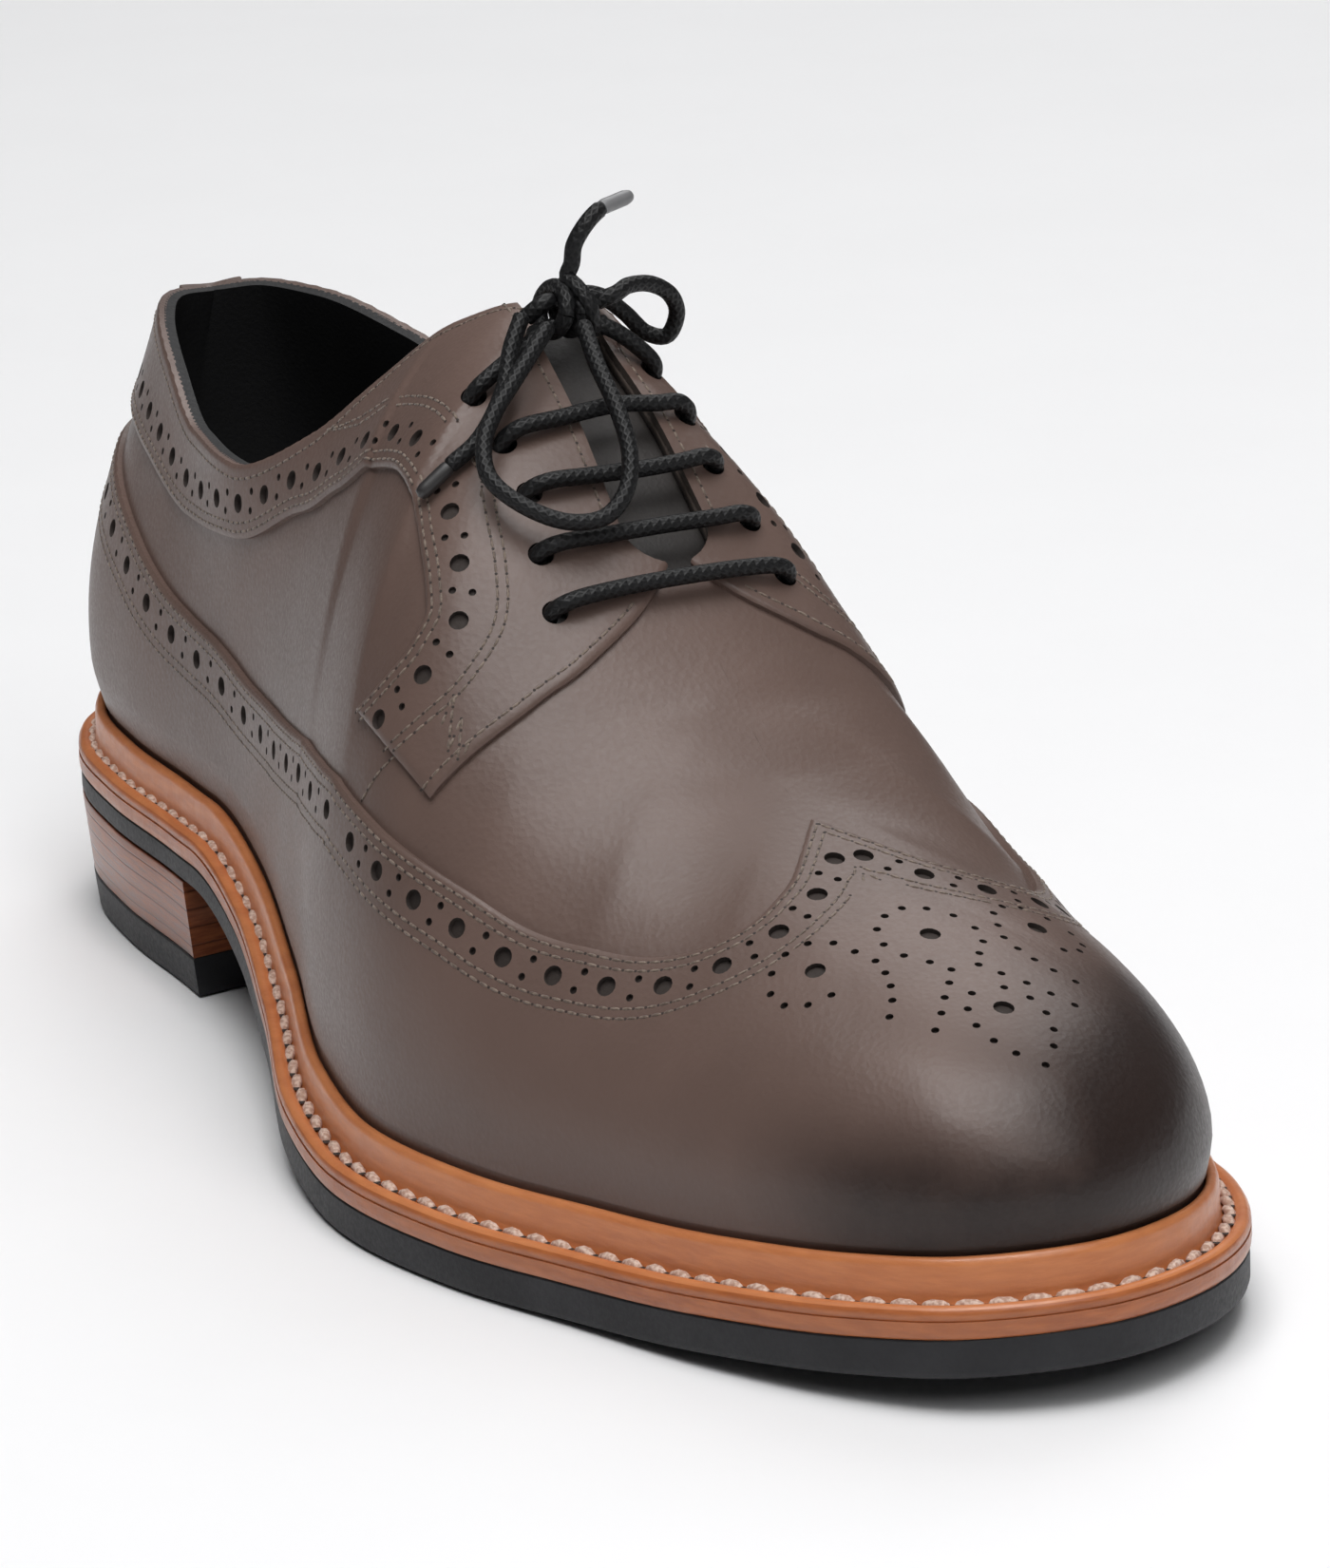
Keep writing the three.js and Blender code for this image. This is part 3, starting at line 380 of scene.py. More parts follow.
def new_piece(name, points, faces, materials, marks=None, sharp=50, closed=True):
    mesh = bpy.data.meshes.new(name)
    mesh.from_pydata(place(points).tolist(), [], faces)
    for material in materials:
        mesh.materials.append(material)
    if marks is not None:
        mesh.polygons.foreach_set("material_index", marks)
    work = bmesh.new()
    work.from_mesh(mesh)
    bmesh.ops.remove_doubles(work, verts=work.verts, dist=2e-6)
    if closed:
        bmesh.ops.recalc_face_normals(work, faces=work.faces)
    work.to_mesh(mesh)
    work.free()
    mesh.shade_smooth()
    mesh.set_sharp_from_angle(angle=math.radians(sharp))
    obj = bpy.data.objects.new(name, mesh)
    bpy.context.collection.objects.link(obj)
    return keep(obj)


# Closed slab from open grids: each is (top points, bottom points), and grids meet where points agree
def slab(name, grids, materials, sharp=50, bottom_mark=0, rim_mark=0):
    tops, lows, quads, index = [], [], [], {}
    for top, low in grids:
        rows, cols = top.shape[:2]
        ids = np.empty((rows, cols), int)
        for i in range(rows):
            for j in range(cols):
                key = tuple(np.round(top[i, j], 2))
                if key not in index:
                    index[key] = len(tops)
                    tops.append(top[i, j])
                    lows.append(low[i, j])
                ids[i, j] = index[key]
        for i in range(rows - 1):
            for j in range(cols - 1):
                ring = [int(ids[i, j]), int(ids[i + 1, j]), int(ids[i + 1, j + 1]), int(ids[i, j + 1])]
                ring = [a for n, a in enumerate(ring) if a != ring[n - 1]]
                if len(ring) > 2:
                    quads.append(tuple(ring))
    # Faces of one grid may run the other way round: each is turned to agree with its neighbours
    work = bmesh.new()
    verts = [work.verts.new(p) for p in tops]
    for ring in quads:
        try:
            work.faces.new([verts[a] for a in ring])
        except ValueError:
            continue
    bmesh.ops.recalc_face_normals(work, faces=work.faces)
    work.verts.index_update()
    count = len(tops)
    faces, marks = [], []
    for face in work.faces:
        ring = [v.index for v in face.verts]
        faces += [ring, [a + count for a in ring[::-1]]]
        marks += [0, bottom_mark]
    for side in work.edges:
        if len(side.link_faces) == 1:
            loop = side.link_loops[0]
            a, b = loop.vert.index, loop.link_loop_next.vert.index
            faces.append([b, a, a + count, b + count])
            marks.append(rim_mark)
    work.free()
    return new_piece(name, np.vstack([tops, lows]), faces, materials, marks, sharp)


def cut(obj, cutter, operation="DIFFERENCE"):
    step = obj.modifiers.new("cut", "BOOLEAN")
    step.object = cutter
    step.operation = operation
    step.solver = "MANIFOLD"
    step.material_mode = "TRANSFER"
    graph = bpy.context.evaluated_depsgraph_get()
    mesh = bpy.data.meshes.new_from_object(obj.evaluated_get(graph))
    obj.modifiers.clear()
    obj.data = mesh
    bpy.data.objects.remove(cutter)


# Faces between rings of points that follow each other, each ring closed
def walls(rings, sides, start=0, closed=False):
    faces = []
    for i in range(rings if closed else rings - 1):
        a, b = start + i * sides, start + (i + 1) % rings * sides
        for k in range(sides):
            n = (k + 1) % sides
            faces.append([a + k, a + n, b + n, b + k])
    return faces


# Joined prisms, each given by its middle, direction, radius and two heights along the direction
def pegs(name, rows, material, sides=14):
    points, faces = [], []
    for middle, axis, radius, low, high in rows:
        axis = np.asarray(axis) / np.linalg.norm(axis)
        helper = np.array((0, 0, 1.0)) if abs(axis[2]) < 0.9 else np.array((1.0, 0, 0))
        u = np.cross(axis, helper)
        u /= np.linalg.norm(u)
        v = np.cross(axis, u)
        start = len(points)
        for height in (low, high):
            for k in range(sides):
                turn = 2 * math.pi * k / sides
                points.append(middle + axis * height + radius * (math.cos(turn) * u + math.sin(turn) * v))
        faces.append(list(range(start, start + sides))[::-1])
        faces.append(list(range(start + sides, start + 2 * sides)))
        faces += walls(2, sides, start)
    return new_piece(name, points, faces, [material])


# Round tube along points, with its length and turn as the uv map; ends are rounded when asked
def tube(name, points, radius, material, sides=14, start_cap=True, end_cap=True):
    points = np.asarray(points, float)
    radius = np.broadcast_to(np.asarray(radius, float), (len(points),))
    tangent = np.gradient(points, axis=0)
    tangent /= np.linalg.norm(tangent, axis=1)[:, None]
    frame_u = np.cross(tangent[0], (0, 0, 1) if abs(tangent[0][2]) < 0.9 else (1, 0, 0))
    frame_u /= np.linalg.norm(frame_u)
    rings = []
    for p, t, r in zip(points, tangent, radius):
        frame_u = frame_u - t * np.dot(frame_u, t)
        frame_u /= np.linalg.norm(frame_u)
        v = np.cross(t, frame_u)
        turns = [2 * math.pi * k / sides for k in range(sides)]
        rings.append([p + r * (math.cos(a) * frame_u + math.sin(a) * v) for a in turns])
    length = np.concatenate([[0], np.cumsum(np.linalg.norm(np.diff(points, axis=0), axis=1))])
    verts = [q for ring in rings for q in ring]
    faces, uvs = walls(len(points), sides), []
    for i in range(len(points) - 1):
        for k in range(sides):
            uvs += [(k / sides, length[i]), ((k + 1) / sides, length[i]),
                    ((k + 1) / sides, length[i + 1]), (k / sides, length[i + 1])]
    for wanted, at, way in ((start_cap, 0, -1), (end_cap, len(points) - 1, 1)):
        tip = len(verts)
        verts.append(points[at] + way * tangent[at] * radius[at] * (0.35 if wanted else 0))
        for k in range(sides):
            n = (k + 1) % sides
            a, b = at * sides + k, at * sides + n
            faces.append([a, tip, b] if way < 0 else [b, tip, a])
            uvs += [(k / sides, length[at])] * 3
    mesh = bpy.data.meshes.new(name)
    mesh.from_pydata(place(verts).tolist(), [], faces)
    layer = mesh.uv_layers.new(name="UVMap")
    layer.data.foreach_set("uv", [c for uv in uvs for c in uv])
    mesh.materials.append(material)
    mesh.shade_smooth()
    mesh.set_sharp_from_angle(angle=math.radians(60))
    obj = bpy.data.objects.new(name, mesh)
    bpy.context.collection.objects.link(obj)
    return keep(obj)


# Smooth open spline through points, with even steps of about the length asked
def spline(points, step):
    points = [np.asarray(p, float) for p in points]
    ends = [2 * points[0] - points[1]] + points + [2 * points[-1] - points[-2]]
    dense = []
    for four in zip(ends, ends[1:], ends[2:], ends[3:]):
        dense += [centripetal(*four)(t) for t in np.linspace(0, 1, 24, endpoint=False)]
    return even(np.array(dense + [points[-1]]), step)


def even(points, step):
    length = np.concatenate([[0], np.cumsum(np.linalg.norm(np.diff(points, axis=0), axis=1))])
    count = max(int(round(length[-1] / step)), 1)
    at = np.linspace(0, length[-1], count + 1)
    return np.stack([np.interp(at, length, points[:, k]) for k in range(points.shape[1])], -1)


# Materials. Colours are linear; every texture is laid in the shoe's own space, in metres, or along a tube
class Recipe:
    def __init__(self, name, **values):
        self.material = bpy.data.materials.new(name)
        self.material.use_nodes = True
        self.tree = self.material.node_tree
        self.tree.nodes.clear()
        output = self.tree.nodes.new("ShaderNodeOutputMaterial")
        self.shader = self.tree.nodes.new("ShaderNodeBsdfPrincipled")
        self.tree.links.new(self.shader.outputs[0], output.inputs["Surface"])
        self.give(self.shader, values)

    def give(self, node, values):
        for key, value in values.items():
            socket = node.inputs[key]
            if isinstance(value, bpy.types.NodeSocket):
                self.tree.links.new(value, socket)
            else:
                socket.default_value = value

    def add(self, kind, values=None, out=0, **settings):
        node = self.tree.nodes.new("ShaderNode" + kind)
        for key, value in settings.items():
            setattr(node, key, value)
        self.give(node, values or {})
        return node.outputs[out]

    def where(self):
        return self.add("TexCoord", out="Object")

    def noise(self, scale, detail=3, roughness=0.5, vector=None):
        values = {"Vector": vector or self.where(), "Scale": scale, "Detail": detail, "Roughness": roughness}
        return self.add("TexNoise", values, out="Fac")

    def cells(self, scale):
        return self.add("TexVoronoi", {"Vector": self.where(), "Scale": scale}, out="Distance")

    def axes(self, vector=None):
        node = self.tree.nodes.new("ShaderNodeSeparateXYZ")
        self.tree.links.new(vector or self.where(), node.inputs[0])
        return node.outputs

    def math(self, operation, *values):
        return self.add("Math", dict(enumerate(values)), operation=operation)

    def ramp(self, value, low, high, to_low=0, to_high=1):
        values = {0: value, 1: low, 2: high, 3: to_low, 4: to_high}
        return self.add("MapRange", values, interpolation_type="SMOOTHSTEP")

    def mix(self, share, first, second):
        node = self.tree.nodes.new("ShaderNodeMix")
        node.data_type = "RGBA"
        for index, value in ((0, share), (6, first), (7, second)):
            if isinstance(value, bpy.types.NodeSocket):
                self.tree.links.new(value, node.inputs[index])
            else:
                node.inputs[index].default_value = value if index == 0 else (*value, 1)
        return node.outputs[2]

    def bump(self, *layers):
        normal = None
        for height, distance in layers:
            values = {"Height": height, "Strength": 1.0, "Distance": distance}
            if normal is not None:
                values["Normal"] = normal
            normal = self.add("Bump", values)
        self.give(self.shader, {"Normal": normal})

    def colour(self, value):
        if isinstance(value, bpy.types.NodeSocket):
            self.tree.links.new(value, self.shader.inputs["Base Color"])
        else:
            self.shader.inputs["Base Color"].default_value = (*value, 1)


# Polished grey calf, burnished dark low round the toe and a little at the heel, and slightly darker low round
# the foot; on the medial side the dark reaches further back, burnish with painted shade
def calf(name, light, dark, burnish_and_shade_colour, roughness=0.4):
    r = Recipe(name, **{"Coat Weight": 0.11, "Coat Roughness": 0.2, "Specular IOR Level": 0.3})
    x, y, z = r.axes()
    cloud = r.noise(16, 4, 0.55)
    base = r.mix(r.ramp(cloud, 0.35, 0.68), dark, light)
    front = r.math("MULTIPLY", r.ramp(x, 0.108, 0.142), r.ramp(z, 0.045, 0.029))
    # Medial side: burnish together with painted shade, reaching further back than on the lateral side
    turned = r.math("ADD", x, r.math("MULTIPLY", y, 1.1))
    inner = r.math("MULTIPLY", r.ramp(turned, 0.122, 0.168), r.ramp(x, 0.09, 0.12))
    heel = r.math("MULTIPLY", r.ramp(x, -0.12, -0.158), 0.3)
    foot = r.math("MULTIPLY", r.ramp(z, 0.04, 0.016), 0.16)
    strength = r.math("MAXIMUM", r.math("MAXIMUM", front, inner), r.math("MAXIMUM", heel, foot))
    burnish_and_shade_mask = r.math("MULTIPLY", strength, r.ramp(r.noise(34, 5, 0.6), 0.2, 0.75, 0.72, 1.1))
    r.colour(r.mix(r.math("MINIMUM", burnish_and_shade_mask, 0.93), base, burnish_and_shade_colour))
    fine = r.noise(1500, 2, 0.5)
    pores = r.cells(950)
    r.give(r.shader, {"Roughness": r.ramp(fine, 0.2, 0.8, roughness - 0.05, roughness + 0.08)})
    r.bump((fine, 0.00003), (pores, 0.00004), (r.noise(60, 3), 0.00012))
    return r.material


def plain(name, colour, roughness, grain=900, depth=0.00006, coat=0.0, shade=0.8):
    r = Recipe(name, **{"Coat Weight": coat, "Coat Roughness": 0.3})
    tint = tuple(c * shade for c in colour)
    r.colour(r.mix(r.ramp(r.noise(grain / 14, 4), 0.3, 0.7), tint, colour))
    fine = r.noise(grain, 3)
    r.give(r.shader, {"Roughness": r.ramp(fine, 0.2, 0.8, roughness - 0.06, roughness + 0.06)})
    r.bump((fine, depth))
    return r.material


# Tan edge-dressed leather: warm, streaked along the edge, with paler patches
def tan_leather(name, dark, light, pale):
    r = Recipe(name, **{"Coat Weight": 0.3, "Coat Roughness": 0.25})
    stretch = r.add("Mapping", {"Vector": r.where(), "Scale": (1, 1, 6)})
    streaks = r.noise(140, 5, 0.6, stretch)
    base = r.mix(r.ramp(streaks, 0.3, 0.72), dark, light)
    r.colour(r.mix(r.ramp(r.noise(20, 3), 0.35, 0.75, 0, 0.45), base, pale))
    r.give(r.shader, {"Roughness": r.ramp(r.noise(500, 3), 0.2, 0.8, 0.33, 0.48)})
    r.bump((r.noise(1100, 2), 0.00005), (streaks, 0.0001))
    return r.material


# Heel stack: thin leather layers, dressed reddish brown
def stacked_leather():
    r = Recipe("stacked_leather", **{"Coat Weight": 0.35, "Coat Roughness": 0.2})
    z = r.axes()[2]
    wander = r.math("MULTIPLY", r.noise(30, 2), 0.0006)
    layer = r.math("FRACT", r.math("DIVIDE", r.math("ADD", z, wander), 0.0031))
    joint = r.math("MINIMUM", r.ramp(layer, 0, 0.09), r.ramp(layer, 1, 0.91))
    stretch = r.add("Mapping", {"Vector": r.where(), "Scale": (1, 1, 9)})
    grain = r.noise(160, 6, 0.65, stretch)
    base = r.mix(r.ramp(grain, 0.3, 0.72), (0.17, 0.042, 0.016), (0.36, 0.11, 0.04))
    r.colour(r.mix(joint, (0.125, 0.032, 0.014), base))
    r.give(r.shader, {"Roughness": r.ramp(grain, 0.2, 0.8, 0.28, 0.46)})
    r.bump((joint, 0.0001), (grain, 0.00008))
    return r.material


def rubber():
    r = Recipe("black_rubber", **{"Specular IOR Level": 0.3})
    r.colour(r.mix(r.ramp(r.noise(60, 4), 0.3, 0.75), (0.015, 0.015, 0.017), (0.028, 0.028, 0.031)))
    speck = r.noise(1300, 3, 0.6)
    r.give(r.shader, {"Roughness": r.ramp(speck, 0.2, 0.8, 0.46, 0.62)})
    r.bump((speck, 0.00005))
    return r.material


# Waxed round lace: braid of two crossing sets of strands along the tube's own map
def braid():
    r = Recipe("waxed_lace", **{"Specular IOR Level": 0.3})
    u, v, _ = r.axes(r.add("UVMap", uv_map="UVMap"))
    turns = r.math("MULTIPLY", u, 2 * math.pi * 6)
    run = r.math("MULTIPLY", v, 2 * math.pi / 1.5)
    left = r.math("SINE", r.math("ADD", turns, run))
    right = r.math("SINE", r.math("SUBTRACT", turns, run))
    weave = r.math("MAXIMUM", left, right)
    r.colour(r.mix(r.ramp(weave, -0.6, 1), (0.0045, 0.0045, 0.005), (0.0075, 0.0075, 0.008)))
    r.give(r.shader, {"Roughness": r.ramp(weave, -1, 1, 0.62, 0.45)})
    r.bump((weave, 0.00006), (r.noise(1600, 2), 0.00003))
    return r.material


def thread(name, dark, light, roughness=0.6):
    r = Recipe(name, **{"Sheen Weight": 0.2})
    slant = r.add("Mapping", {"Vector": r.where(), "Rotation": (0.5, 0.6, 0.8)})
    ply = r.noise(1500, 1, 0.5, slant)
    r.colour(r.mix(r.ramp(ply, 0.35, 0.65), dark, light))
    r.give(r.shader, {"Roughness": roughness})
    r.bump((ply, 0.00008))
    return r.material


LEATHER = calf("grey_calf", (0.146, 0.096, 0.08), (0.117, 0.077, 0.064), (0.016, 0.01, 0.009))
# Tongue: near-black leather, painted shade of the throat under the laces
TONGUE_PAINTED_SHADE = plain("tongue_painted_shade", (0.025, 0.02, 0.018), 0.55, 1500)
EDGE_LEATHER = plain("cut_edge", (0.085, 0.066, 0.056), 0.55, 1500)
LINING = plain("black_lining", (0.008, 0.008, 0.009), 0.7, 1300, 0.00008)
SOCK = plain("black_sock", (0.012, 0.012, 0.013), 0.62, 1300, 0.00008)
# Dark brown inside the perforations, eyelet holes and needle holes: painted shade of the recesses, in the
# perforations also standing for the dark backing below them
HOLE_PAINTED_SHADE = plain("hole_painted_shade", (0.035, 0.025, 0.021), 0.8, 1500)
TAN = tan_leather("tan_edge", (0.3, 0.075, 0.02), (0.45, 0.13, 0.036), (0.5, 0.17, 0.055))
TAN_LIP = tan_leather("tan_lip", (0.47, 0.145, 0.05), (0.6, 0.21, 0.075), (0.66, 0.26, 0.1))
STACK = stacked_leather()
RUBBER = rubber()
BRAID = braid()
TIP = plain("lace_tip_grey", (0.2, 0.2, 0.205), 0.4, 1200, 0.00003, 0.3)
TIP_DARK = plain("lace_tip_dark", (0.022, 0.02, 0.02), 0.45, 1200, 0.00003, 0.2)
THREAD = thread("brown_thread", (0.1, 0.07, 0.052), (0.2, 0.15, 0.115))
WELT_THREAD = thread("pale_thread", (0.44, 0.27, 0.2), (0.7, 0.54, 0.45), 0.7)
BRASS = plain("brass_nail", (0.6, 0.4, 0.13), 0.35, 900, 0.00003)
BRASS.node_tree.nodes["Principled BSDF"].inputs["Metallic"].default_value = 1.0


# Lines on the upper: arrays of sides, shares and ups, with the direction along, out and inwards
def between(table, at, names):
    numbered = dict(table)
    numbered["i"] = np.arange(len(next(iter(table.values()))), dtype=float)
    return [along(numbered, "i", name, at) for name in names]


def wing_edge(at):
    return between(WING, at, ("top", "up"))


def arc_edge(at):
    return between(FACING, at, ("inner", "innerUp"))


def front_edge(at):
    return between(FACING, at, ("outer", "outerUp"))


# Line at a distance from an edge, measured on the upper; turn says on which side of the edge it lies
def beside(side, share, up, distance, turn):
    start = surface(side, share, up)
    sides = np.full(len(share), float(side))
    for _ in range(4):
        here = surface(sides, share, up)
        ahead = np.gradient(here, axis=0)
        inward = np.cross(outward(sides, share, up), ahead) * turn
        inward /= np.linalg.norm(inward, axis=1)[:, None]
        by_share = (surface(sides, share + PROBE, up) - surface(sides, share - PROBE, up)) / (2 * PROBE)
        by_up = (surface(sides, share, up + PROBE) - surface(sides, share, up - PROBE)) / (2 * PROBE)
        a = (by_share * by_share).sum(1)
        b = (by_share * by_up).sum(1)
        c = (by_up * by_up).sum(1)
        step = inward * distance / 4
        p, q = (by_share * step).sum(1), (by_up * step).sum(1)
        share = share + (c * p - b * q) / (a * c - b * b)
        up = up + (a * q - b * p) / (a * c - b * b)
    near = nearest(surface(sides, share, up), start)
    fair = (near > abs(distance) * 0.96 - 0.05) & (up < 1.0)
    return share[fair], up[fair]


def nearest(points, others):
    return np.array([np.linalg.norm(others - p, axis=1).min() for p in points])


# Even places along a line on the upper: each is a middle with the directions along, across and out
def spots(side, share, up, height, pitch, start=0.5):
    line = surface(side, share, up)
    length = np.concatenate([[0], np.cumsum(np.linalg.norm(np.diff(line, axis=0), axis=1))])
    jump = np.linalg.norm(np.diff(line, axis=0), axis=1)
    count = int(length[-1] / pitch)
    pitch = length[-1] / count
    result = []
    for k in range(count):
        at = (k + start) * pitch
        i = min(int(np.searchsorted(length, at)), len(line) - 1)
        if jump[i - 1] > 4 * np.median(jump) + 0.5:
            continue
        w = np.interp(at, length, share)
        v = np.interp(at, length, up)
        normal = outward(side, np.array([w]), np.array([v]))[0]
        middle = surface(side, np.array([w]), np.array([v]))[0] + normal * height
        way = line[i] - line[i - 1]
        way -= normal * way.dot(normal)
        way /= np.linalg.norm(way)
        result.append((middle, way, np.cross(normal, way), normal))
    return result


# Places dropped along their own directions onto a piece: those with no leather under them are left out
def seated(rows, piece, reach=0.8):
    result = []
    for middle, way, aside, normal in rows:
        start = Vector(place(middle + normal * reach))
        hit, spot, _, _ = piece.ray_cast(start, Vector(-normal), distance=2 * reach / 1000)
        if hit:
            result.append((np.array(spot) * 1000 - SHIFT, way, aside, normal))
    return result


# Stitches along places: slim rounded threads whose ends dive in, and needle holes between them as dark discs
# of painted shade
def sew(name, rows, material, length, width, proud=0.7):
    rings = ((-0.5, 0.3, -0.9), (-0.42, 0.75, -0.35), (-0.2, 1, 0),
             (0.2, 1, 0), (0.42, 0.75, -0.35), (0.5, 0.3, -0.9))
    sides = 6
    points, faces = [], []
    for middle, way, aside, normal in rows:
        start = len(points)
        for at, size, lift in rings:
            for k in range(sides):
                turn = 2 * math.pi * k / sides
                r = width / 2 * size
                points.append(middle + way * at * length + aside * r * math.cos(turn)
                              + normal * (r * math.sin(turn) * proud + lift * width * 0.35))
        faces += walls(len(rings), sides, start)
        faces.append([start + k for k in range(sides)][::-1])
        faces.append([start + (len(rings) - 1) * sides + k for k in range(sides)])
    return new_piece(name, points, faces, [material], sharp=80)


# Needle holes: flat dark discs of painted shade, just above the leather
def needle_holes(name, rows, radius, length):
    points, faces = [], []
    for middle, way, aside, normal in rows:
        start = len(points)
        for k in range(6):
            turn = 2 * math.pi * k / 6
            along_way = length + radius * math.cos(turn)
            points.append(middle + way * along_way + aside * radius * math.sin(turn))
        points.append(middle + way * length + normal * 0.03)
        faces += [[start + k, start + (k + 1) % 6, start + 6] for k in range(6)]
    return new_piece(name, points, faces, [HOLE_PAINTED_SHADE], closed=False)


# Upper: one hollow shell, cut open at the throat and at the eyelets
def shell_grids(count, rise):
    shares = np.linspace(0, 1, count)
    ups = np.linspace(0, 1, rise)
    grids = []
    for side in SIDES:
        walls = []
        for offset in (0, -WALL):
            base = edge(np.full(count, side), shares, feather_inset(shares) - offset)
            z = welt_top(base[:, 0]) + GAP
            base = np.concatenate([base, z[:, None]], -1)
            wall = raised(side, shares[:, None], ups[None, :], offset + 0 * ups[None, :])
            walls.append(np.concatenate([base[:, None, :], wall], 1))
        grids.append(walls)
    return grids


# Upright cutter that goes through the instep
def prism(name, outline):
    count = len(outline)
    points = [(x, y, z) for z in (INSTEP_HEIGHT / 2, INSTEP_HEIGHT * 1.5) for x, y in outline]
    faces = [list(range(count))[::-1], list(range(count, 2 * count))] + walls(2, count)
    return new_piece(name, points, faces, [EDGE_LEATHER])


def throat_cutter():
    start, end = THROAT_TOP * LENGTH, THROAT_END * LENGTH
    xs = np.linspace(start, end, 60)
    half = (THROAT_GAP + THROAT_FLARE * np.linspace(0, 1, 60)) / 2
    last = half[-1]
    turns = np.linspace(-80, 80, 15)
    nose = [(end + last * 0.85 * math.cos(math.radians(a)), crest_y(end) + last * math.sin(math.radians(a)))
            for a in turns]
    outline = [(x, crest_y(x) - h) for x, h in zip(xs, half)] + nose
    outline += [(x, crest_y(x) + h) for x, h in zip(xs[::-1], half[::-1])]
    return prism("throat_cutter", outline)


# The eyelet holes' walls take the cutter's dark painted shade
def eyelet_cutter():
    rows = []
    for side in SIDES:
        for run, up, _ in EYELETS:
            w, v = np.array([run]), np.array([up])
            rows.append((surface(side, w, v)[0], outward(side, w, v)[0], EYELET / 2, -7, 7))
    return pegs("eyelet_cutter", rows, HOLE_PAINTED_SHADE, 20)


SHELL_COLUMNS = 221
SHELL_ROWS = 41
shell = slab("upper_shell", shell_grids(SHELL_COLUMNS, SHELL_ROWS), [LEATHER, LINING],
             bottom_mark=1, rim_mark=1)
cut(shell, throat_cutter())
cut(shell, eyelet_cutter())
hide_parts("upper")


# Height of an overlay at a distance from its free edge: its cut edge is a little rounded
def overlay_height(up, gap, full=OVERLAY):
    skive = OVERLAY_SKIVE + (1 - OVERLAY_SKIVE) * np.clip(up / OVERLAY_FADE, 0, 1)
    round_off = np.clip(gap / 0.8, 0, 1)
    return full * skive * (1 - 0.4 * (1 - round_off) ** 2)


# Shares across a ruled piece, with extra lines close to its free ends
def across_lines(length, count, low_end, high_end):
    close = np.array((0, 0.15, 0.4, 0.8))
    inner = np.linspace(1.6 if low_end else 0, length - (1.6 if high_end else 0), count)
    parts = [close] if low_end else []
    parts.append(inner)
    if high_end:
        parts.append(length - close[::-1])
    return np.concatenate(parts) / length


def wing_grid(side):
    at = np.linspace(0, len(WING["foot"]) - 1, 300)
    root, top, up = between(WING, at, ("foot", "top", "up"))
    length = np.linalg.norm(surface(side, top, up) - surface(side, root, 0 * root), axis=1)
    t = np.stack([across_lines(max(n, 6.0), 24, False, True) for n in length])
    share = root[:, None] * (1 - t) + top[:, None] * t
    ups = OVERLAY_FOOT * (1 - t) + up[:, None] * t
    base = surface(side, share, ups)
    free = np.linspace(0, WING_POINT, 900)
    gap = nearest(base.reshape(-1, 3), surface(side, *wing_edge(free))).reshape(t.shape)
    return raised(side, share, ups, overlay_height(ups, gap)), raised(side, share, ups, -ROOT + 0 * ups)


def hole_pegs(side, share, up, pitch, height, big, small, apart):
    rows = []
    for middle, way, aside, normal in spots(side, share, up, height, pitch):
        rows.append((middle, normal, big, -BIG_HOLE_DEPTH, CUTTER_TOP))
    for middle, way, aside, normal in spots(side, share, up, height, pitch, 1.0)[:-1]:
        for shift in (-apart, apart):
            here = middle + aside * shift + way * shift * HOLE_SLANT
            rows.append((here, normal, small, -SMALL_HOLE_DEPTH, CUTTER_TOP))
    return rows


EDGE_ROWS = (1.1, 2.5)
WING_HOLES = 5.2
WING_INNER_ROWS = (8.4, 9.9)
WING_PITCH = 9.1
REAR_PITCH = 11.4
WING_PITCH_FROM = 0.56
BIG_HOLE = 1.55
SMALL_HOLE = 0.6
BIG_HOLE_DEPTH = 0.95
SMALL_HOLE_DEPTH = 0.7
HOLE_SLANT = 0.25
HOLES_APART = 1.5
CUTTER_TOP = 1


def wing_line(side, distance):
    return beside(side, *wing_edge(np.linspace(0.2, WING_POINT, 700)), distance, side)


def facing_grid(side):
    at = np.linspace(0, len(FACING["outer"]) - 1, 300)
    low, low_up, high, high_up = between(FACING, at, ("inner", "innerUp", "outer", "outerUp"))
    length = np.linalg.norm(surface(side, high, high_up) - surface(side, low, low_up), axis=1)
    t = np.stack([across_lines(max(n, 6.0), 20, True, True) for n in length])
    share = low[:, None] * (1 - t) + high[:, None] * t
    ups = low_up[:, None] * (1 - t) + high_up[:, None] * t
    base = surface(side, share, ups)
    rear = surface(side, *arc_edge(np.linspace(0, 16, 900)))
    front = surface(side, *front_edge(np.linspace(12.2, 16, 300)))
    foot_end = surface(side, np.linspace(0.557, 0.625, 120), np.linspace(0.363, 0.4, 120))
    collar = surface(side, *front_edge(np.linspace(0, 10.2, 500)))
    gap = nearest(base.reshape(-1, 3), np.vstack([rear, front, foot_end, collar])).reshape(t.shape)
    return raised(side, share, ups, overlay_height(ups, gap)), raised(side, share, ups, -ROOT + 0 * ups)


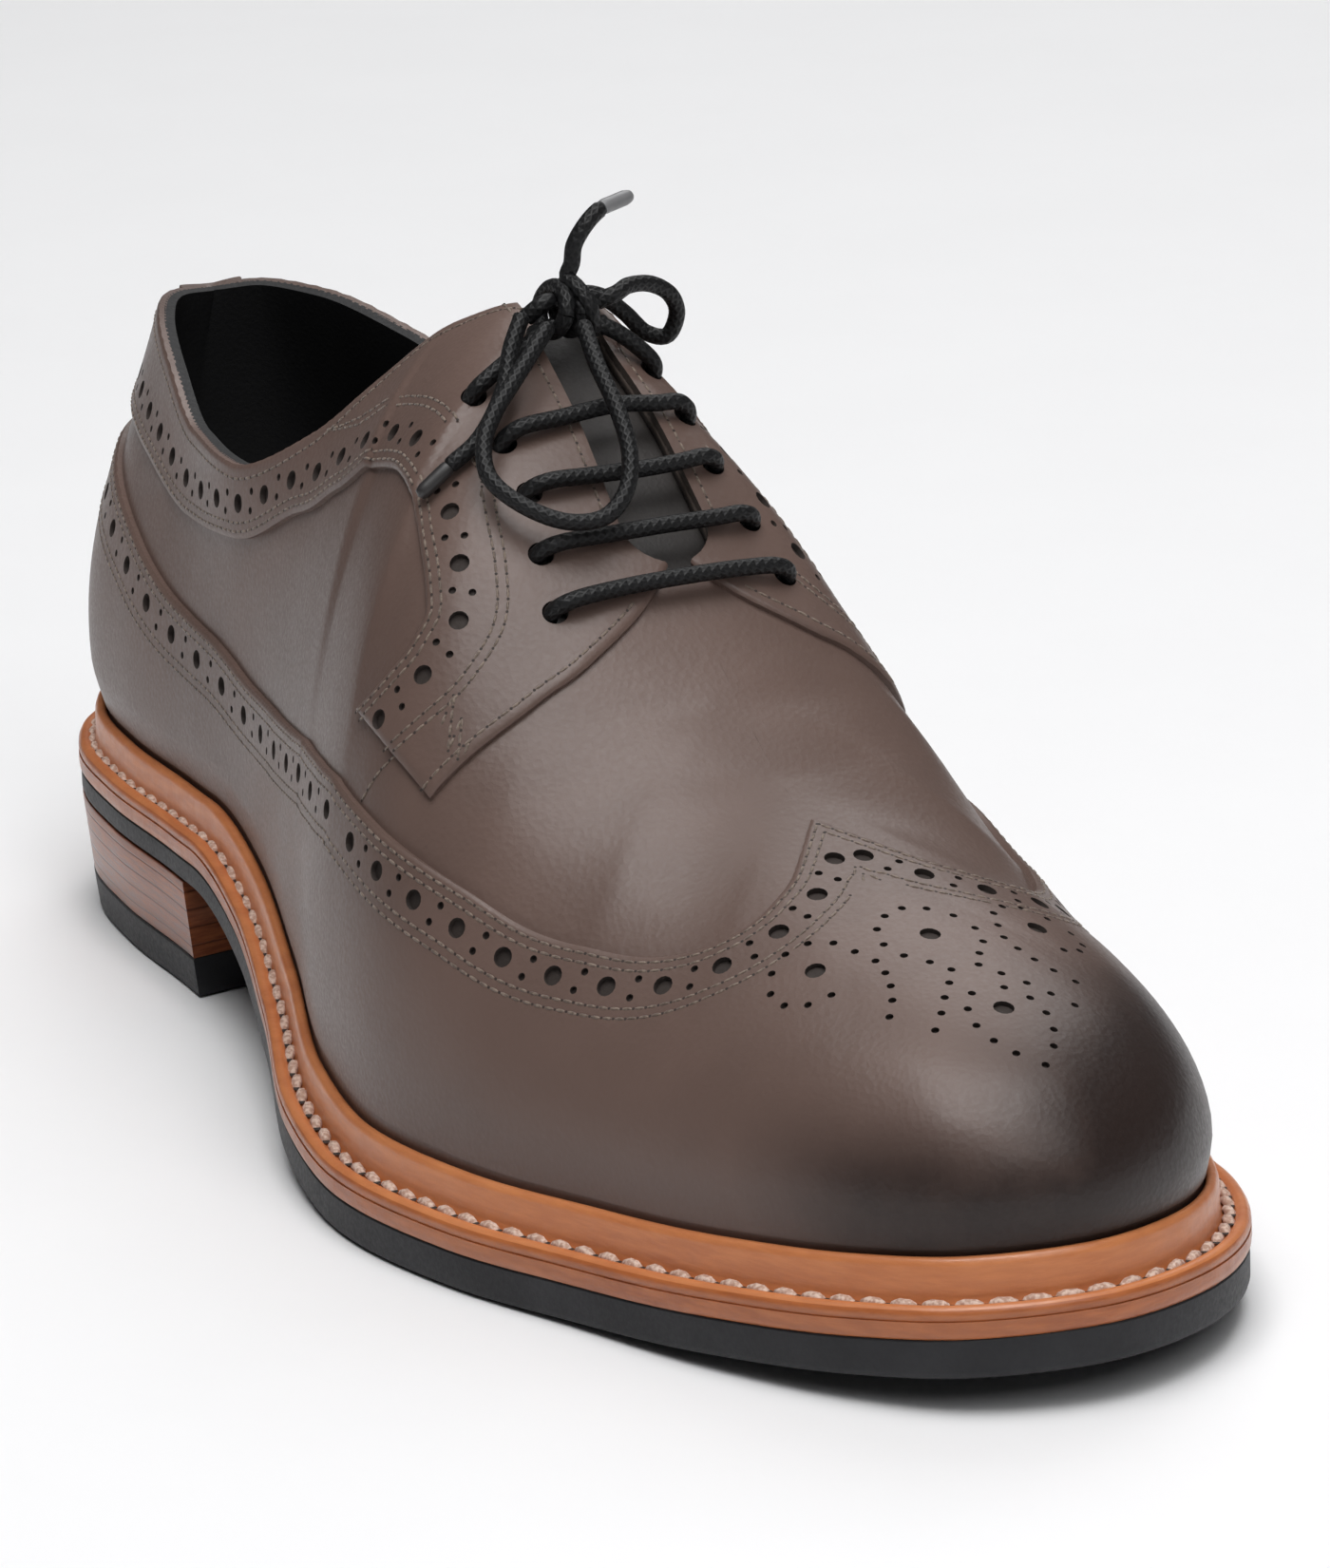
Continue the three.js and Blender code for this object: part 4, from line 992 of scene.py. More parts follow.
def back_strip_grid():
    ups = np.linspace(OVERLAY_FOOT, 1, 60)
    across = across_lines(STRIP_WIDTH, 20, True, True) * STRIP_WIDTH - STRIP_WIDTH / 2
    side = np.where(across < 0, LATERAL, MEDIAL)[None, :]
    share = (np.abs(across) / EDGE_RUN)[None, :]
    gap = (STRIP_WIDTH / 2 - np.abs(across))[None, :] + 0 * ups[:, None]
    gap = np.minimum(gap, np.abs(raised(side, share, ups[:, None], 0 * gap)[..., 2]
                                 - surface(LATERAL, 0, 1)[2]) + 0 * gap)
    height = overlay_height(ups[:, None], gap, OVERLAY + STRIP_STEP)
    return raised(side, share, ups[:, None], height), raised(side, share, ups[:, None], -ROOT + 0 * gap)


wing = slab("wing_cap", [wing_grid(side) for side in SIDES], [LEATHER])
wing_pegs = []
for side in SIDES:
    share, up = wing_line(side, WING_HOLES)
    ahead = share > WING_PITCH_FROM
    for part, pitch in ((ahead, WING_PITCH), (~ahead, REAR_PITCH)):
        wing_pegs += hole_pegs(side, share[part], up[part], pitch, OVERLAY, BIG_HOLE, SMALL_HOLE, HOLES_APART)
# The perforations' walls and floors take the cutter's dark painted shade
cut(wing, pegs("wing_cutter", wing_pegs, HOLE_PAINTED_SHADE))

# Toe medallion, mirrored about the toe's middle line: distances from the heel and from that line
MEDALLION_DEPTH = 0.8
MEDALLION_BIG = ((263, 0), (262, 18), (283, 0))
MEDALLION_SMALL = (
    (255.5, 0), (256.5, 3.4), (259, 6.2), (262.8, 7.4), (266.6, 6.4), (269.6, 4), (272.4, 2.2),
    (275.2, 4.2), (278, 6.6), (280.8, 8.8), (283.4, 11.2),
    (265.6, 10.4), (268.8, 10.7), (271.8, 11.6), (274.6, 13), (277.2, 15),
    (262, 11.6), (258.6, 13), (256.4, 15.8), (256, 19.2), (257.6, 22.4), (260.6, 24.4), (264, 24.2),
    (266.8, 22), (267.8, 18.8),
    (278.6, 2.6), (281.6, 5), (285.2, 5.6), (288.8, 4.8), (292, 3), (295, 0),
)


def drop(obj, points):
    rows = []
    for x, y in points:
        start = Vector(place((x, y, 200)))
        hit, spot, normal, _ = obj.ray_cast(start, Vector((0, 0, -1)))
        rows.append((np.array(spot) * 1000 - SHIFT, np.array(normal)) if hit else None)
    return rows


def medallion_pegs():
    rows = []
    for table, radius in ((MEDALLION_BIG, BIG_HOLE), (MEDALLION_SMALL, SMALL_HOLE)):
        for x, aside in table:
            for y in {aside, -aside}:
                middle, normal = drop(wing, [(x, crest_y(x) + y)])[0]
                rows.append((middle, normal, radius, -MEDALLION_DEPTH, CUTTER_TOP))
    return rows


# The medallion's holes take the cutter's dark painted shade
cut(wing, pegs("medallion_cutter", medallion_pegs(), HOLE_PAINTED_SHADE))

ARC_INNER_ROWS = (10.6, 12.1)
FRONT_ROWS_FROM = 0.445
ARC_HOLES = 5.6
ARC_PITCH = 9.6
facings = slab("collar_and_facings", [facing_grid(side) for side in SIDES], [LEATHER])
cut(facings, throat_cutter())
cut(facings, eyelet_cutter())
arc_pegs = []
for side in SIDES:
    line = beside(side, *arc_edge(np.linspace(0.3, 15.8, 700)), ARC_HOLES, -side)
    arc_pegs += hole_pegs(side, *line, ARC_PITCH, OVERLAY, BIG_HOLE, SMALL_HOLE, HOLES_APART)
# The collar band's perforations take the cutter's dark painted shade
cut(facings, pegs("arc_cutter", arc_pegs, HOLE_PAINTED_SHADE))

strip = slab("back_strip", [back_strip_grid()], [LEATHER])
for piece in (wing, facings, strip):
    piece.data.set_sharp_from_angle(angle=math.radians(38))

# Stitching of the upper, in brown thread
STITCH = 1.75
STITCH_PITCH = 2.1
STITCH_WIDTH = 0.46
NEEDLE = 0.26
rows = []
for side in SIDES:
    for distance in EDGE_ROWS + WING_INNER_ROWS:
        rows += seated(spots(side, *wing_line(side, distance), OVERLAY, STITCH_PITCH), wing)
sewn = sew("wing_stitching", rows, THREAD, STITCH, STITCH_WIDTH)
needle_holes("wing_needle_holes", rows, NEEDLE, STITCH_PITCH / 2)


# Row along the throat's edge, dropped onto the facings
def throat_rows():
    result = []
    xs = np.arange(THROAT_TOP * LENGTH + 3, THROAT_END * LENGTH - 1, 0.7)
    part = (xs / LENGTH - THROAT_TOP) / (THROAT_END - THROAT_TOP)
    half = (THROAT_GAP + THROAT_FLARE * part) / 2
    for side in SIDES:
        found = [hit for hit in drop(facings, zip(xs, crest_y(xs) + side * (half + 1.8))) if hit]
        line = even(np.array([middle for middle, _ in found]), STITCH_PITCH)
        for middle, way in zip(line, np.gradient(line, axis=0)):
            normal = min(found, key=lambda hit: np.linalg.norm(hit[0] - middle))[1]
            way = way - normal * way.dot(normal)
            way /= np.linalg.norm(way)
            result.append((middle, way, np.cross(normal, way), normal))
    return result


# Small zigzag tack near each facing's lower front corner
def tack_rows():
    corners = ((0.619, 0.478), (0.619, 0.53), (0.627, 0.47), (0.627, 0.522), (0.635, 0.462), (0.635, 0.514))
    result = []
    for side in SIDES:
        for start, end in zip(corners, corners[1:]):
            share, up = np.linspace(start, end, 30).T
            result += spots(side, share, up, OVERLAY, STITCH_PITCH)
    return result


def strip_rows():
    result = []
    ups = np.linspace(0.1, 0.97, 120)
    for side in SIDES:
        share = np.full(120, (STRIP_WIDTH / 2 - 1.2) / EDGE_RUN)
        result += spots(side, share, ups, OVERLAY + STRIP_STEP, STITCH_PITCH)
    return result


# Seam where the vamp goes under the quarter, between the facing's corner and the wing
SEAM_LINE = ((0.602, 0.39), (0.59, 0.34), (0.579, 0.29))


def seam_rows():
    share, up = np.array([np.interp(np.linspace(0, 2, 40), (0, 1, 2), column) for column in zip(*SEAM_LINE)])
    return [spot for side in SIDES for spot in spots(side, share - 0.005, up, 0.05, STITCH_PITCH)]


rows = []
for side in SIDES:
    for distance in EDGE_ROWS + ARC_INNER_ROWS:
        line = beside(side, *arc_edge(np.linspace(0.3, 15.9, 700)), distance, -side)
        share, up = line
        inside = up < 0.975
        if distance > 5:
            inside &= share > FRONT_ROWS_FROM
            share = np.concatenate([share[inside][0] + np.linspace(-0.034, -0.002, 30), share[inside]])
            up = np.concatenate([np.linspace(0.975, up[inside][0], 31)[:-1], up[inside]])
            inside = share > 0
        rows += spots(side, share[inside], up[inside], OVERLAY, STITCH_PITCH)
    share, up = beside(side, *front_edge(np.linspace(0.4, 8.3, 500)), 1.8, side)
    rows += spots(side, share, up, OVERLAY, STITCH_PITCH)
    share, up = beside(side, *front_edge(np.linspace(13, 16, 300)), 1.8, side)
    rows += spots(side, share, up, OVERLAY, STITCH_PITCH)
rows = seated(rows + throat_rows() + tack_rows(), facings) + strip_rows() + seam_rows()
sewn = sew("facing_stitching", rows, THREAD, STITCH, STITCH_WIDTH)
needle_holes("facing_needle_holes", rows, NEEDLE, STITCH_PITCH / 2)


# Sole: welt with a raised lip, a channel for the stitching and a rounded edge; midsole in its side
def ring_sections(count):
    lateral = [(LATERAL, s) for s in np.linspace(0, 1, count)]
    medial = [(MEDIAL, s) for s in np.linspace(0, 1, count)[1:-1][::-1]]
    return lateral + medial


def swept_ring(name, profile, count, materials, marks=None):
    sections = ring_sections(count)
    sides = np.array([s for s, _ in sections], float)
    shares = np.array([w for _, w in sections])
    lines = []
    for inset, height in profile(shares):
        p = edge(sides, shares, inset + 0 * shares)
        lines.append(np.concatenate([p, (height(p[:, 0], sides, shares))[:, None]], -1))
    points = np.stack(lines, 1)
    n, m = points.shape[:2]
    faces, face_marks = [], []
    for i in range(n):
        for j in range(m):
            a, b = i * m + j, ((i + 1) % n) * m + j
            c, d = ((i + 1) % n) * m + (j + 1) % m, i * m + (j + 1) % m
            faces.append([a, b, c, d])
            face_marks.append(marks[j] if marks else 0)
    return new_piece(name, points.reshape(-1, 3), faces, materials, face_marks, sharp=55)


def welt_profile(shares):
    inner = feather_inset(shares) - GAP
    lip = inner - LIP_THICKNESS

    def over(rise):
        return lambda x, sides, s: welt_top(x) + rise

    def top_of_lip(drop_by):
        return lambda x, sides, s: foot(sides, s)[:, 2] - drop_by

    return [
        (0.0, lambda x, sides, s: outsole_top(x) + 2 * GAP + MIDSOLE),
        (-0.25, over(-1.5)), (-0.2, over(-1.0)), (0.05, over(-0.5)), (0.45, over(-0.15)), (1.0, over(0)),
        (1.5, over(-0.08)), (1.95, over(-0.45)), (2.2, over(-0.9)),
        (lip - 0.35, over(-0.9)), (lip - 0.15, over(-0.4)), (lip, over(0.4)),
        (lip + 0.15, top_of_lip(1.2)), (lip + 0.4, top_of_lip(0.45)), (lip + 0.85, top_of_lip(0.05)),
        (inner - 0.5, top_of_lip(0.05)), (inner, top_of_lip(0.5)),
        (inner, over(0)), (14, over(0)), (14, lambda x, sides, s: outsole_top(x) + 2 * GAP + MIDSOLE),
    ]


def midsole_profile(_):
    def over(rise):
        return lambda x, sides, s: outsole_top(x) + rise

    return [(0.1, over(0.05)), (-0.2, over(0.5)), (-0.3, over(1.4)), (-0.25, over(2 * GAP + MIDSOLE)),
            (16, over(2 * GAP + MIDSOLE)), (16, over(0.05))]


RING_SECTIONS = 300
# The welt's top and its lip are paler than its edge
welt_marks = [1 if 3 <= face <= 7 or 9 <= face <= 16 else 0 for face in range(20)]
welt = swept_ring("welt_strip", welt_profile, RING_SECTIONS, [TAN, TAN_LIP], welt_marks)
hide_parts("welt")
midsole = swept_ring("midsole_edge", midsole_profile, RING_SECTIONS, [TAN])
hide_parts("midsole")


# Plate that fills the sole's outline between two heights, with rounded edges where asked
def filled_grid(inset, low, high, low_round, high_round):
    ends = np.linspace(0, 0.04, 12)
    shares = np.concatenate([ends[:-1], np.linspace(ends[-1], 1 - ends[-1], 200), 1 - ends[-2::-1]])
    rims = np.array((0, 0.2, 0.5, 1.0, 1.6))
    left = [edge(np.full(len(shares), LATERAL), shares, inset(shares) + r) for r in rims]
    right = [edge(np.full(len(shares), MEDIAL), shares, inset(shares) + r) for r in rims]
    middle = [left[-1] * (1 - t) + right[-1] * t for t in np.linspace(0, 1, 14)[1:-1]]
    flat = np.stack(left + middle + right[::-1], 1)
    depth = np.concatenate([rims, np.full(len(middle), 9), rims[::-1]])

    def rounding(radius):
        if radius == 0:
            return 0 * depth
        d = np.clip(depth / radius, 0, 1)
        return radius * (1 - np.sqrt(1 - (1 - d) ** 2))

    top = np.concatenate([flat, (high(flat[..., 0]) - rounding(high_round))[..., None]], -1)
    bottom = np.concatenate([flat, (low(flat[..., 0]) + rounding(low_round))[..., None]], -1)
    return top, bottom


# Studs under the forepart and the heel: shares of the length or heel length and half the ball width
STUDS = ((0.61, -0.58), (0.7, -0.52), (0.775, -0.44), (0.84, -0.34), (0.64, -0.02), (0.725, 0.04),
         (0.8, 0.06), (0.62, 0.36), (0.71, 0.55), (0.78, 0.56), (0.845, 0.42), (0.905, 0.1))
LIFT_STUDS = ((0.4, 0.05), (0.72, -0.28), (0.72, 0.3))
STUD_PIT = 19
STUD = 11.5
STUD_DEPTH = 1.6
LIFT_STUD_PIT = 14
LIFT_STUD = 8


# Ring cutters for the stud pits, with a small step so that each stud's foot is rounded
def pit_rings(name, places, width, stud):
    points, faces = [], []
    sides = 32
    profile = ((stud / 2 - 0.9, -STUD_DEPTH), (width / 2, -STUD_DEPTH), (width / 2, STUD_DEPTH * 0.55),
               (width / 2 - 0.7, STUD_DEPTH), (stud / 2 + 0.5, STUD_DEPTH), (stud / 2, STUD_DEPTH * 0.6),
               (stud / 2 - 0.2, 0.35))
    for x, y, z in places:
        start = len(points)
        for r, rise in profile:
            for k in range(sides):
                turn = 2 * math.pi * k / sides
                points.append((x + r * math.cos(turn), y + r * math.sin(turn), z + rise))
        faces += walls(len(profile), sides, start, closed=True)
    return new_piece(name, points, faces, [RUBBER])


# Groove round the tread, in from the edge of the forepart and waist, for the outsole's stitching
GROOVE_INSET = 6.2
GROOVE_WIDTH = 1.6
GROOVE_DEPTH = 0.9
GROOVE_FROM = 0.37


def groove_cutter(inset, width, depth, start):
    rows = []
    for side, shares in ((LATERAL, np.linspace(start, 1, 160)), (MEDIAL, np.linspace(1, start, 160)[1:])):
        for share in shares:
            here = edge(np.array([side]), np.array([share]), inset - width / 2)[0]
            there = edge(np.array([side]), np.array([share]), inset + width / 2)[0]
            rows.append((here, there))
    points, faces = [], []
    for here, there in rows:
        z = float(tread(here[0]))
        points += [(*here, z - 1), (*here, z + depth * 0.6), (*((here + there) / 2), z + depth),
                   (*there, z + depth * 0.6), (*there, z - 1)]
    faces += walls(len(rows), 5)
    faces.append([0, 1, 2, 3, 4])
    faces.append([len(points) - 5 + k for k in range(5)][::-1])
    return new_piece("groove_cutter", points, faces, [RUBBER])


def flush(shares):
    return 0 * shares


outsole = slab("rubber_outsole", [filled_grid(flush, tread, outsole_top, 1.2, 0.3)], [RUBBER], sharp=40)
cut(outsole, groove_cutter(GROOVE_INSET, GROOVE_WIDTH, GROOVE_DEPTH, GROOVE_FROM))
cut(outsole, pit_rings("pit_cutter", [(a * LENGTH, b * HALF, float(tread(a * LENGTH))) for a, b in STUDS],
                       STUD_PIT, STUD))
outsole.data.set_sharp_from_angle(angle=math.radians(35))
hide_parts("outsole")


# Heel: level rings between heights, tapering down, with a hollowed breast
HEEL_TAPER = 2
BREAST_HOLLOW = 3


def heel_ring(z, smaller):
    inset = HEEL_TAPER * (1 - z / HEEL_HEIGHT) + smaller
    ends = {}
    for side in SIDES:
        shares = np.linspace(0, 0.5, 2001)
        x = edge(np.full(2001, side), shares, inset + 0 * shares)[:, 0]
        ends[side] = shares[np.nonzero(x < HEEL_LENGTH - smaller)[0][-1]]
    lateral = edge(np.full(60, LATERAL), np.linspace(0, ends[LATERAL], 60), inset + np.zeros(60))
    medial = edge(np.full(60, MEDIAL), np.linspace(0, ends[MEDIAL], 60), inset + np.zeros(60))[::-1][:-1]
    t = np.linspace(0, 1, 14)[1:-1][:, None]
    breast = lateral[-1] * (1 - t) + medial[0] * t
    breast[:, 0] -= BREAST_HOLLOW * 4 * t[:, 0] * (1 - t[:, 0])
    ring = np.vstack([lateral, breast, medial])
    return np.concatenate([ring, np.full((len(ring), 1), z)], -1)


def heel_block(name, levels, material):
    rings = [heel_ring(z, smaller) for z, smaller in levels]
    n = len(rings[0])
    faces = [list(range(n))[::-1], list(range((len(rings) - 1) * n, len(rings) * n))]
    faces += walls(len(rings), n)
    return new_piece(name, np.vstack(rings), faces, [material], sharp=40)


stack_low = TOP_LIFT + 0.02
stack = heel_block("stacked_heel", [(stack_low, 0.25), (stack_low + 0.3, 0), (HEEL_HEIGHT - 0.3, 0),
                                    (HEEL_HEIGHT - 0.02, 0.2)], STACK)
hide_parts("heel_stack")
lift_levels = [(0, 0.5), (0.15, 0.2), (0.5, 0), (TOP_LIFT - 0.3, -0.1), (TOP_LIFT, 0.1)]
lift = heel_block("rubber_top_lift", lift_levels, RUBBER)
cut(lift, pit_rings("lift_cutter", [(a * HEEL_LENGTH, b * HALF, 0) for a, b in LIFT_STUDS],
                    LIFT_STUD_PIT, LIFT_STUD))
lift.data.set_sharp_from_angle(angle=math.radians(35))
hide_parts("heel_top_lift")

# Brass nails set round the back of the top lift
NAIL_INSET = 7
NAIL = 1.1
rows = []
for side in SIDES:
    for share in np.linspace(0.03, 0.2, 4):
        p = edge(np.array([side]), np.array([share]), NAIL_INSET)[0]
        rows.append((np.array((*p, 0.0)), (0, 0, -1), NAIL, -1.0, 0.05))
pegs("heel_nails", rows, BRASS, 12)


# Insole with its sock, and the tongue
def sock_inset(shares):
    return feather_inset(shares) + WALL + GAP


def sock_low(x):
    return welt_top(x) + GAP


def sock_high(x):
    return welt_top(x) + GAP + INSOLE


insole = slab("insole_sock", [filled_grid(sock_inset, sock_low, sock_high, 0, 1.2)], [SOCK])
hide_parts("insole")


def tongue_piece():
    shares = np.linspace(0.45, 0.76, 70)
    ups = np.linspace(0.5, 1, 36)
    grids = []
    for side in SIDES:
        walls = [raised(side, shares[:, None], ups[None, :], -(WALL + GAP + depth) + 0 * ups[None, :])
                 for depth in (0, TONGUE)]
        grids.append(walls)
    # The tongue's outer face is near-black: painted shade of the throat under the laces
    piece = slab("tongue_leather", grids, [TONGUE_PAINTED_SHADE, LINING], bottom_mark=1)
    start, end, half = TONGUE_TOP * LENGTH, TONGUE_END * LENGTH, TONGUE_WIDTH / 2
    turns = np.radians(np.linspace(-90, 90, 25))
    nose = [(end - half / 2 + half / 2 * math.cos(a), half * 0.85 * math.sin(a)) for a in turns]
    top = [(start - 1 + 4 * math.cos(a) ** 2, half * math.sin(a)) for a in turns[::-1]]
    cut(piece, prism("tongue_cutter", nose + top), "INTERSECT")
    return piece


tongue = tongue_piece()
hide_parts("tongue")

# Stitching of the welt: chunky pale stitches that lie in its channel
WELT_STITCH = 4.8
WELT_STITCH_WIDTH = 1.75
WELT_NEEDLE = 0.62
rows = []
for side in SIDES:
    shares = np.linspace(0.0, 1, 900)
    inset = (2.2 + feather_inset(shares) - GAP - LIP_THICKNESS - 0.35) / 2
    line = edge(np.full(900, side), shares, inset)
    line = even(np.concatenate([line, (welt_top(line[:, 0]) - 0.45)[:, None]], -1), WELT_STITCH)
    way = np.gradient(line, axis=0)
    way /= np.linalg.norm(way, axis=1)[:, None]
    for middle, ahead in zip(line, way):
        aside = np.cross((0, 0, 1), ahead) * side
        slanted = ahead + aside * 0.2
        slanted /= np.linalg.norm(slanted)
        rows.append((middle, slanted, np.cross((0, 0, 1), slanted), np.array((0, 0, 1.0))))
welt_stitches = sew("welt_stitching", rows, WELT_THREAD, WELT_STITCH * 0.94, WELT_STITCH_WIDTH, 0.8)
needle_holes("welt_needle_holes", rows, WELT_NEEDLE, WELT_STITCH / 2)


# Lace: bars over the throat, leads to the knot, and the bow, on the same points as in the part's source
LACE_HEIGHT = OVERLAY + GAP + LACE / 2 + 0.3
KNOT = np.array((156, -1, 126.3))
LEAD_ENDS = {LATERAL: (159.3, -7.6, 122.8), MEDIAL: (159.3, 5.6, 122.8)}
LOOP_LATERAL = (
    (162, -6.5, 125), (163.9, -8.2, 124.5), (168.1, -14.7, 119.8), (171.5, -20.3, 115.4),
    (174.9, -23.5, 112), (179.5, -24.8, 108.3), (184.9, -22, 104.9), (188.8, -16.6, 102.5),
    (189.7, -11, 102.6), (188.1, -6.7, 105.3), (184.5, -4, 109.8), (178.8, -3, 115.3),
    (171.2, -2.6, 120.8), (163.8, -1.2, 125.2),
)
LOOP_MEDIAL = (
    (157, 4.2, 126.9), (157.8, 7.2, 127.8), (156.4, 10, 128.4), (155, 14.5, 127.8), (154, 18.3, 125.4),
    (153, 19.8, 122), (152, 18.4, 118.5), (150.4, 15.8, 119), (149.6, 12.6, 122.4), (150, 8.6, 125.6),
    (150.4, 5.6, 126.6), (152.4, 2.6, 126.8),
)
END_UPPER = (
    (157.9, 3.6, 122.9), (160.8, 1.6, 124.4), (161.4, 1.2, 127.2), (159.6, 0.2, 129.8), (156.8, -0.3, 131.3),
    (157, 0.4, 133.2), (157, 0.9, 136), (157, 3.1, 139.1), (156, 6, 140.8), (155, 9, 141.3),
    (154, 12, 141.7),
)
END_LOWER = (
    (159, -9.2, 126.6), (162, -12.6, 122.6), (165.5, -15.6, 117.6), (169.1, -21.7, 111.5),
    (169.5, -26.5, 108.4), (169.3, -31.8, 104.4),
)
LACE_TIP = 2.4
LACE_STEP = 0.55
TIP_STEPS = 12
LACE_IN_TIP = 1.8


def lace_half(side, run, up, crossing):
    def one(value):
        return np.array([value])

    def at(aside, rise):
        return hole + way * aside + normal * rise

    hole = surface(side, one(run), one(up))[0]
    normal = outward(side, one(run), one(up))[0]
    over = raised(side, one((run + crossing) / 2), one((up + 1) / 2), one(LACE_HEIGHT))[0]
    way = over - hole
    way -= normal * way.dot(normal)
    way /= np.linalg.norm(way)
    return [at(-0.9, -0.5), at(-0.7, 0.9), at(0.5, 2.5), at(3, LACE_HEIGHT + 0.2), over]


# Lace along points; one with a tip runs on inside it as a thinner core
def lace_tube(name, points, node, tipped=False):
    path = spline(points, LACE_STEP)
    radius = np.full(len(path), LACE / 2)
    if tipped:
        radius[-TIP_STEPS:] = LACE_IN_TIP / 2
        radius[-2:] = LACE_IN_TIP / 3
    piece = tube(name, path, radius, BRAID, end_cap=not tipped)
    if node:
        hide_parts(node)
    return piece, path


for number, (run, up, crossing) in enumerate(EYELETS, 1):
    halves = {side: lace_half(side, run, up, crossing) for side in SIDES}
    if number == 1:
        for side, name in ((LATERAL, "lateral"), (MEDIAL, "medial")):
            points = halves[side][:4] + [LEAD_ENDS[side], KNOT + (2, 2.5 * side, -2)]
            lace_tube("lace_lead_" + name + "_round", points, "lace_lead_" + name)
        continue
    middle = raised(LATERAL, np.array([crossing]), np.array([1.0]), np.array([LACE_HEIGHT]))[0]
    points = halves[LATERAL] + [middle] + halves[MEDIAL][::-1]
    lace_tube(f"lace_bar_{number}_round", points, f"lace_bar_{number}")

# Knot: two wraps side by side over a core, and the crossing under them
knot_parts = []
for offset, tilt, size in ((-1.5, 0.25, 1.0), (1.2, 0.12, 1.04)):
    turns = np.linspace(0, 2 * math.pi, 60)
    ring = np.stack([4.5 * size * np.cos(turns), offset + tilt * 4 * np.sin(turns),
                     3.3 * size * np.sin(turns)], -1)
    knot_parts.append(tube("knot_wrap", KNOT + ring, LACE / 2, BRAID, start_cap=False, end_cap=False))
OVER_POINTS = ((0.5, -6.4, -0.6), (1.5, -3.5, 1.6), (-0.5, 0, 0.6), (1.2, 3.6, 1.4), (0.5, 6.4, 0.4))
UNDER_POINTS = ((2.5, -6, -2.6), (-0.5, -2, -3.0), (2.5, 2, -2.8), (2.5, 6, -2.6))
crossing_line = spline([KNOT + p for p in OVER_POINTS], LACE_STEP)
knot_parts.append(tube("knot_cross", crossing_line, LACE / 2 * 1.05, BRAID))
under_line = spline([KNOT + p for p in UNDER_POINTS], LACE_STEP)
knot_parts.append(tube("knot_under", under_line, LACE / 2, BRAID))
mesh = bmesh.new()
for part in knot_parts:
    mesh.from_mesh(part.data)
knot = knot_parts[0]
mesh.to_mesh(knot.data)
mesh.free()
knot.name = "bow_knot"
for part in knot_parts[1:]:
    bpy.data.objects.remove(part)
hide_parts("lace_knot")


def lace_tip(name, path, node, material):
    tail = path[-TIP_STEPS:]
    radius = np.full(len(tail), LACE_TIP / 2)
    radius[-1] *= 0.72
    radius[-2] *= 0.9
    radius[0] *= 0.94
    piece = tube(name, tail, radius, material, 16)
    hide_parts(node)
    return piece


loop, path = lace_tube("bow_loop_lateral", LOOP_LATERAL, "lace_loop_lateral")
loop, path = lace_tube("bow_loop_medial", LOOP_MEDIAL, "lace_loop_medial")
for name, points, material in (("upper", END_UPPER, TIP), ("lower", END_LOWER, TIP_DARK)):
    end, path = lace_tube(f"bow_end_{name}", points, f"lace_end_{name}", tipped=True)
    tip = lace_tip(f"bow_tip_{name}", path, f"lace_tip_{name}", material)

# Floor, light and the camera at the photograph's angle, framed on the one shoe
floor_mesh = bpy.data.meshes.new("floor")
floor_mesh.from_pydata([(-8, -8, 0), (8, -8, 0), (8, 8, 0), (-8, 8, 0)], [], [(0, 1, 2, 3)])
floor = bpy.data.objects.new("floor", floor_mesh)
bpy.context.collection.objects.link(floor)
floor_mesh.materials.append(plain("pale_floor", (0.88, 0.88, 0.89), 0.7, 300, 0.00001, 0, 0.99))
floor.location.z = -0.0002


def area_light(name, place_at, aim, size, power):
    light = bpy.data.lights.new(name, "AREA")
    light.size = size
    light.energy = power
    obj = bpy.data.objects.new(name, light)
    obj.location = place_at
    obj.rotation_euler = (Vector(aim) - Vector(place_at)).to_track_quat("-Z", "Y").to_euler()
    bpy.context.collection.objects.link(obj)


